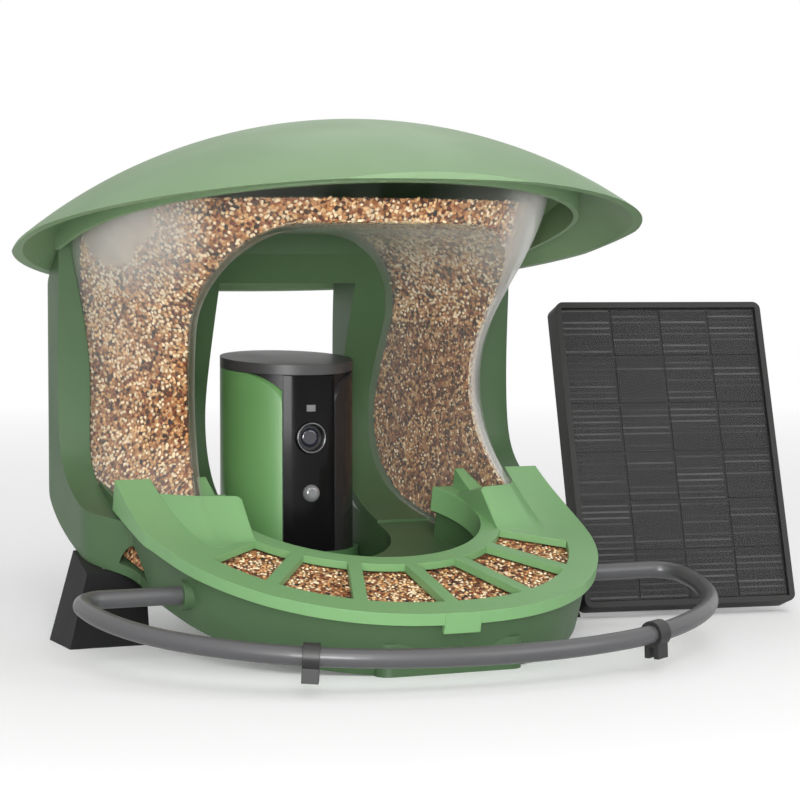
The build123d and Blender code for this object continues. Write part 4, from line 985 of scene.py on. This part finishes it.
class Housing(SubAssembly):
    """Green housing with the pole sleeve, the feet, the perch and small metal parts."""

    FINISHES = {
        "housing": "housing_plastic", "pole_sleeve": "drawn_steel",
        "left_foot": "foot_rubber", "right_foot": "foot_rubber",
        "foot_screws": "drawn_steel", "drain_mesh": "drawn_steel",
        "roof_hinge_pins": "drawn_steel", "perch_bar": "perch_coating",
        "perch_clips": "clip_plastic",
    }


class Roof(SubAssembly):
    """Domed roof with its seal."""

    FINISHES = {"roof": "roof_plastic", "roof_seal": "seal_rubber"}


@dataclass
class Hopper(SubAssembly):
    """Clear hopper and the seed that fills it.

    Attributes:
        gap: Least distance between two grains.
        core_depth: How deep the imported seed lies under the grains.
        tray_level: Height of the tray's plane over the pole socket.
        tray_slope: The plane's rise for each metre back.
        hidden_behind: Where the housing hides the seed from behind.
        faces_back: Share of a normal towards the back from which a face is hidden.
    """

    gap: float = 0.00165
    core_depth: float = 0.0011
    tray_level: float = 0.050
    tray_slope: float = 0.27
    hidden_behind: float = 0.119
    faces_back: float = 0.7

    FINISHES = {"seed_hopper": "hopper_clear"}

    def build(self) -> None:
        """Dresses the shell and fills it with grains."""
        self.dress()
        node = self.node("seed_fill")
        corners, normals = node_triangles(node)
        middle = corners.mean(axis=1)
        shown = ((middle[:, 2] > self.tray_level + self.tray_slope * middle[:, 1])
                 & (normals[:, 1] < self.faces_back) & (middle[:, 1] < self.hidden_behind))
        builder = GrainBuilder(11)
        places, directions = spread_points(corners[shown], normals[shown], self.gap,
                                           builder.chance)
        grains = builder.build("hopper_seed", places, directions, node_tree_of(node))
        self.palette.dress(grains, "seed_grains")
        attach(grains, "feeder")
        core = packed_core("hopper_seed_core", node, self.core_depth)
        self.palette.dress(core, "seed_packed")
        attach(core, "feeder")
        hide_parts("seed_fill")


@dataclass
class LegApron:
    """Smooth rise of the tray in front of one hopper leg. Lengths are metres.

    Attributes:
        leg: Search tree of the hopper.
        inner: Where the rise starts, from the middle.
        corner: Where the leg's inner face starts.
        outer: Where it ends, under the tray's own side.
        top: Height of its top edge.
        low: Lower height at which the leg is measured too.
        clear: Room between its face and the leg.
        thick: Thickness of its wall.
        front: The foremost place that its face may start at.
        back: How far the inner part runs back.
        level: Height of the tray's plane over the pole socket.
        slope: The plane's rise for each metre back.
    """

    leg: BVHTree
    inner: float = 0.060
    corner: float = 0.0745
    outer: float = 0.093
    top: float = 0.070
    low: float = 0.056
    clear: float = 0.0024
    thick: float = 0.0011
    front: float = -0.011
    back: float = 0.036
    level: float = 0.0550
    slope: float = 0.27

    PROBES = (0.080, 0.084, 0.088, 0.092)  # places across where the leg is measured
    INWARD_FALL = 0.45  # fall of the face for each metre inside the first of them
    ROUND_WIDTH, ROUND_DEPTH = 0.003, 0.0014  # rounding at the inner end of the top edge
    TOE_LEAST, TOE_MORE = 0.002, 0.006  # how far the toe runs out, and what is added
    TOE_START, TOE_WIDTH = 0.070, 0.008  # where that starts across, and over what width
    TOE_LIFT, SUNK = 0.0001, 0.001  # the toe over the tray's plane, lower edges under it
    KNEE = 0.4  # share of the face that curves
    BACK_LEAST, BACK_TAPER = 0.015, 0.2265  # the back's end at the corner, and its taper
    BACK_FALL = 0.19  # how the top falls towards the back
    SECTIONS = 34
    SHARP_DEG = 38

    def _plane(self, y: float) -> float:
        """Height of the tray's plane at a place."""
        return self.level + self.slope * y

    def _leg_front(self, x: float, z: float) -> float:
        """Place of the leg's front face, followed inwards past its corner."""
        found = []
        for probe in self.PROBES:
            hit = self.leg.ray_cast(Vector((probe, -0.2, z)), Vector((0.0, 1.0, 0.0)))[0]
            if hit is not None:
                found.append((probe, hit.y))
        bend = np.polyfit([place for place, _ in found], [y for _, y in found],
                          min(2, len(found) - 1))
        first = self.PROBES[0]
        if x < first:
            return float(np.polyval(bend, first)) - self.INWARD_FALL * (first - x)
        return float(np.polyval(bend, x))

    def _section(self, x: float, rows: int = 12, back_rows: int = 5) -> list:
        """Closed outline of the rise at one place across.

        Args:
            x: Place across, from the middle.
            rows: Steps up its face.
            back_rows: Steps down its back.

        Returns:
            Points as (y, z).
        """
        ease = min(1.0, (x - self.inner) / self.ROUND_WIDTH)
        top = self.top - self.ROUND_DEPTH * (1 - ease) ** 2
        low = self._leg_front(x, self.low) - self.clear
        high = self._leg_front(x, self.top) - self.clear
        lean = (high - low) / (self.top - self.low)
        base = (low + lean * (self.level - self.low)) / (1 - lean * self.slope)
        base = max(self.front, base)
        grow = min(1.0, max(0.0, (x - self.TOE_START) / self.TOE_WIDTH))
        foot = base - self.TOE_LEAST - self.TOE_MORE * grow
        bend = np.array([base, self._plane(base)])
        start = np.array([foot, self._plane(foot) + self.TOE_LIFT])
        end = np.array([high, top])
        knee = bend + (end - bend) * self.KNEE
        face = []
        for step in range(rows + 1):
            share = step / rows
            if share < 0.5:
                t = share * 2
                face.append(start * (1 - t) ** 2 + bend * 2 * t * (1 - t) + knee * t * t)
            else:
                face.append(knee + (end - knee) * (share * 2 - 1))
        if x < self.corner:
            reach = min(self.back, self.BACK_LEAST + (self.corner - x) / self.BACK_TAPER)
            rear = max(high + self.thick, reach)
            rear_top = top - self.BACK_FALL * (rear - high)
            drop = [(rear, rear_top + (self._plane(rear) - self.SUNK - rear_top)
                     * i / back_rows) for i in range(back_rows + 1)]
        else:
            drop = [(face[-1 - i * 2][0] + self.thick, face[-1 - i * 2][1])
                    for i in range(back_rows + 1)]
        sole = [(foot, self._plane(foot) - self.SUNK)]
        return [tuple(point) for point in face] + drop + sole

    def build(self, name: str, side: int) -> Piece:
        """Makes the rise on one side.

        Args:
            name: The object's name.
            side: 1 for the right side, -1 for the left.

        Returns:
            The new object.
        """
        places = np.linspace(self.inner, self.outer, self.SECTIONS)
        rings = [self._section(x) for x in places]
        count = len(rings[0])
        shape = bmesh.new()
        corners = [shape.verts.new((side * x, y, z)) for x, ring in zip(places, rings)
                   for y, z in ring]
        for i in range(len(places) - 1):
            for j in range(count):
                k = (j + 1) % count
                shape.faces.new((corners[i * count + j], corners[i * count + k],
                                 corners[(i + 1) * count + k], corners[(i + 1) * count + j]))
        shape.faces.new(corners[:count])
        shape.faces.new(corners[-count:])
        bmesh.ops.triangulate(shape, faces=shape.faces[:])
        bmesh.ops.recalc_face_normals(shape, faces=shape.faces[:])
        for face in shape.faces:
            face.smooth = True
        made = bmesh_piece(name, shape)
        made.data.set_sharp_from_angle(angle=math.radians(self.SHARP_DEG))
        return made


@dataclass
class Tray(SubAssembly):
    """Tray with the seed that shows in its windows.

    Attributes:
        gap: Least distance between two grains.
        core_depth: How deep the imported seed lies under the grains.
        up: The direction that the tray's plane faces.
        level_share: Share of that direction in the normals of the seed's top.
    """

    gap: float = 0.0016
    core_depth: float = 0.0011
    up: Place = (0.0, -0.2605, 0.9655)
    level_share: float = 0.98

    FINISHES = {"tray_grid": "tray_plastic"}

    def build(self) -> None:
        """Dresses the tray, lays grains where its windows are open and adds its aprons."""
        self.dress()
        node = self.node("tray_seed_fill")
        corners, normals = node_triangles(node)
        top = normals @ np.array(self.up) > self.level_share
        builder = GrainBuilder(23)
        places, directions = spread_points(corners[top], normals[top], self.gap, builder.chance)
        cover = node_tree_of(self.node("tray_grid"))
        shown = [cover.ray_cast(Vector(place), Vector(self.up))[0] is None for place in places]
        grains = builder.build("tray_seed", places[shown], directions[shown],
                               node_tree_of(node))
        self.palette.dress(grains, "seed_grains")
        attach(grains, "feeder")
        core = packed_core("tray_seed_core", node, self.core_depth)
        self.palette.dress(core, "seed_packed")
        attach(core, "feeder")
        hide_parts("tray_seed_fill")
        leg = LegApron(node_tree_of(self.node("seed_hopper")))
        for side, name in ((-1, "tray_apron_left"), (1, "tray_apron_right")):
            apron = leg.build(name, side)
            self.palette.dress(apron, "tray_plastic")
            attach(apron, "tray")


class CameraUnit(SubAssembly):
    """Camera on its dock."""

    FINISHES = {
        "camera_dock": "dock_plastic", "dock_screws": "drawn_steel",
        "camera_core": "camera_core_plastic", "camera_front_glass": "camera_face_acrylic",
        "camera_left_cover": "cover_plastic", "camera_right_cover": "cover_painted_shade",
        "camera_top_cap": "cap_plastic", "lens_barrel": "camera_core_plastic",
        "lens_ring": "lens_ring_metal", "lens_glass": "lens_coating",
        "sensor_dome": "sensor_plastic", "status_window": "status_plastic",
        "camera_board": "board_mask", "camera_batteries": "battery_wrap",
        "camera_speaker": "camera_core_plastic", "power_button": "button_rubber",
        "port_cover": "button_rubber",
    }


class SolarPanel(SubAssembly):
    """Solar panel on its stand."""

    FINISHES = {
        "panel_frame": "panel_plastic", "panel_back_cover": "panel_plastic",
        "panel_screws": "drawn_steel", "solar_cells": "cell_silicon",
        "panel_glass": "panel_film", "panel_bracket": "bracket_plastic",
        "bracket_screws": "drawn_steel", "panel_pivot_pin": "drawn_steel",
        "panel_knob": "knob_rubber", "panel_stand": "bracket_plastic",
        "bracket_lugs": "bracket_plastic",
    }


@dataclass(frozen=True)
class Lamp:
    """A square soft lamp that faces the feeder.

    Attributes:
        name: The lamp's name.
        place: Where it stands.
        side: Its side length.
        power: Its power in watts.
    """

    name: str
    place: Place
    side: float
    power: float

    AIM = (0.0, 0.0, 0.12)

    def build(self) -> None:
        """Adds the lamp to the scene."""
        data = bpy.data.lights.new(self.name, "AREA")
        data.shape = "SQUARE"
        data.size = self.side
        data.energy = self.power
        lamp = linked(self.name, data)
        lamp.location = self.place
        lamp.rotation_mode = "QUATERNION"
        lamp.rotation_quaternion = (Vector(self.AIM)
                                    - Vector(self.place)).to_track_quat("-Z", "Y")


@dataclass
class Studio:
    """Pale floor, white surroundings and soft lamps.

    Attributes:
        floor_half: Half the floor's side.
        ambient: Strength of the white surroundings on the object.
        floor_albedo: Share of light that the floor sends back.
        floor_lift: Light that the floor adds in the camera's view.
        fade_start: Distance from the feeder where the floor starts to turn white.
        fade_end: Distance where it is all white in the camera's view.
    """

    floor_half: float = 14.0
    ambient: float = 0.48
    floor_albedo: float = 0.9
    floor_lift: float = 0.14
    fade_start: float = 0.5
    fade_end: float = 2.2

    LAMPS = (
        Lamp("key_lamp", (-0.7, -2.3, 1.9), 1.4, 24.0),
        Lamp("fill_lamp", (1.3, -1.8, 1.0), 1.3, 12.0),
        Lamp("low_lamp", (-0.55, -1.3, 0.24), 0.5, 15.0),
        Lamp("back_lamp", (0.8, 1.7, 1.8), 1.0, 6.0),
    )

    def build(self) -> None:
        """Builds the floor, the surroundings and the lamps."""
        self._floor()
        self._surroundings()
        for lamp in self.LAMPS:
            lamp.build()

    def _floor(self, rows: int = 9) -> None:
        """Builds the floor with so many rows of points."""
        steps = np.linspace(-self.floor_half, self.floor_half, rows)
        points = np.array([(x, y, 0.0) for y in steps for x in steps])
        faces = np.array([(r * rows + c, r * rows + c + 1, (r + 1) * rows + c + 1,
                           (r + 1) * rows + c)
                          for r in range(rows - 1) for c in range(rows - 1)])
        floor = mesh_piece("studio_floor", points, faces, smooth=False)
        made = bpy.data.materials.new("studio_floor")
        tree = emptied(made)
        matt = tree.node("BsdfDiffuse", {"Color": (self.floor_albedo,) * 3 + (1.0,)})
        camera = tree.node("LightPath").outputs["Is Camera Ray"]
        lift = tree.node("Emission", {"Color": WHITE, "Strength": tree.maths(
            "MULTIPLY", camera, self.floor_lift)})
        both = tree.node("AddShader")
        tree.feed(both.inputs[0], matt.outputs[0])
        tree.feed(both.inputs[1], lift.outputs[0])
        distance = tree.measure("LENGTH", tree.node("NewGeometry").outputs["Position"])
        share = tree.maths("DIVIDE", tree.maths("SUBTRACT", distance, self.fade_start),
                           self.fade_end - self.fade_start, clamp=True)
        white = tree.node("Emission", {"Color": WHITE, "Strength": 1.0})
        faded = tree.node("MixShader", {"Fac": tree.maths("MULTIPLY", share, camera)})
        tree.feed(faded.inputs[1], both.outputs[0])
        tree.feed(faded.inputs[2], white.outputs[0])
        tree.show(faded.outputs[0])
        floor.data.materials.append(made)

    def _surroundings(self) -> None:
        """Builds the world, white where it is seen and softer where it lights."""
        world = bpy.data.worlds.new("studio_world")
        tree = emptied(world)
        ray = tree.node("LightPath").outputs
        shown = tree.maths("MAXIMUM", ray["Is Camera Ray"], ray["Is Transmission Ray"])
        shown = tree.maths("MAXIMUM", shown, ray["Is Glossy Ray"])
        strength = tree.maths("MULTIPLY_ADD", shown, 1.0 - self.ambient, self.ambient)
        sky = tree.node("Background", {"Color": WHITE, "Strength": strength})
        tree.show(sky.outputs[0], "OutputWorld")
        bpy.context.scene.world = world


@dataclass
class PhotoCamera:
    """Camera at the photograph's own angle.

    Attributes:
        place: Where it stands.
        heading_deg: How far it turns from straight back towards +X.
        pitch_deg: How far it looks down.
        focal: Focal length in millimetres on a 36 mm wide sensor.
    """

    place: Place = (-0.434, -1.010, 0.166)
    heading_deg: float = 24.0
    pitch_deg: float = 2.79
    focal: float = 108.0

    def build(self) -> None:
        """Adds the camera and makes it the scene's own."""
        data = bpy.data.cameras.new("photo_camera")
        data.lens = self.focal
        data.sensor_width = 36.0
        data.clip_start = 0.02
        data.clip_end = 60.0
        camera = linked("photo_camera", data)
        turn, dip = math.radians(self.heading_deg), math.radians(self.pitch_deg)
        ahead = Vector((math.sin(turn) * math.cos(dip), math.cos(turn) * math.cos(dip),
                        -math.sin(dip)))
        camera.rotation_mode = "QUATERNION"
        camera.rotation_quaternion = ahead.to_track_quat("-Z", "Y")
        camera.location = self.place
        bpy.context.scene.camera = camera


def main() -> None:
    """Builds the studio and dresses every sub-assembly."""
    logging.basicConfig(level=logging.INFO, format="%(name)s %(message)s")
    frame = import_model()
    PhotoCamera().build()
    Studio().build()
    palette = Palette()
    for group in (Housing, Roof, Hopper, Tray, CameraUnit, SolarPanel):
        group(frame, palette).build()
    bpy.context.scene.view_settings.view_transform = "Standard"


if __name__ == "__main__":
    main()
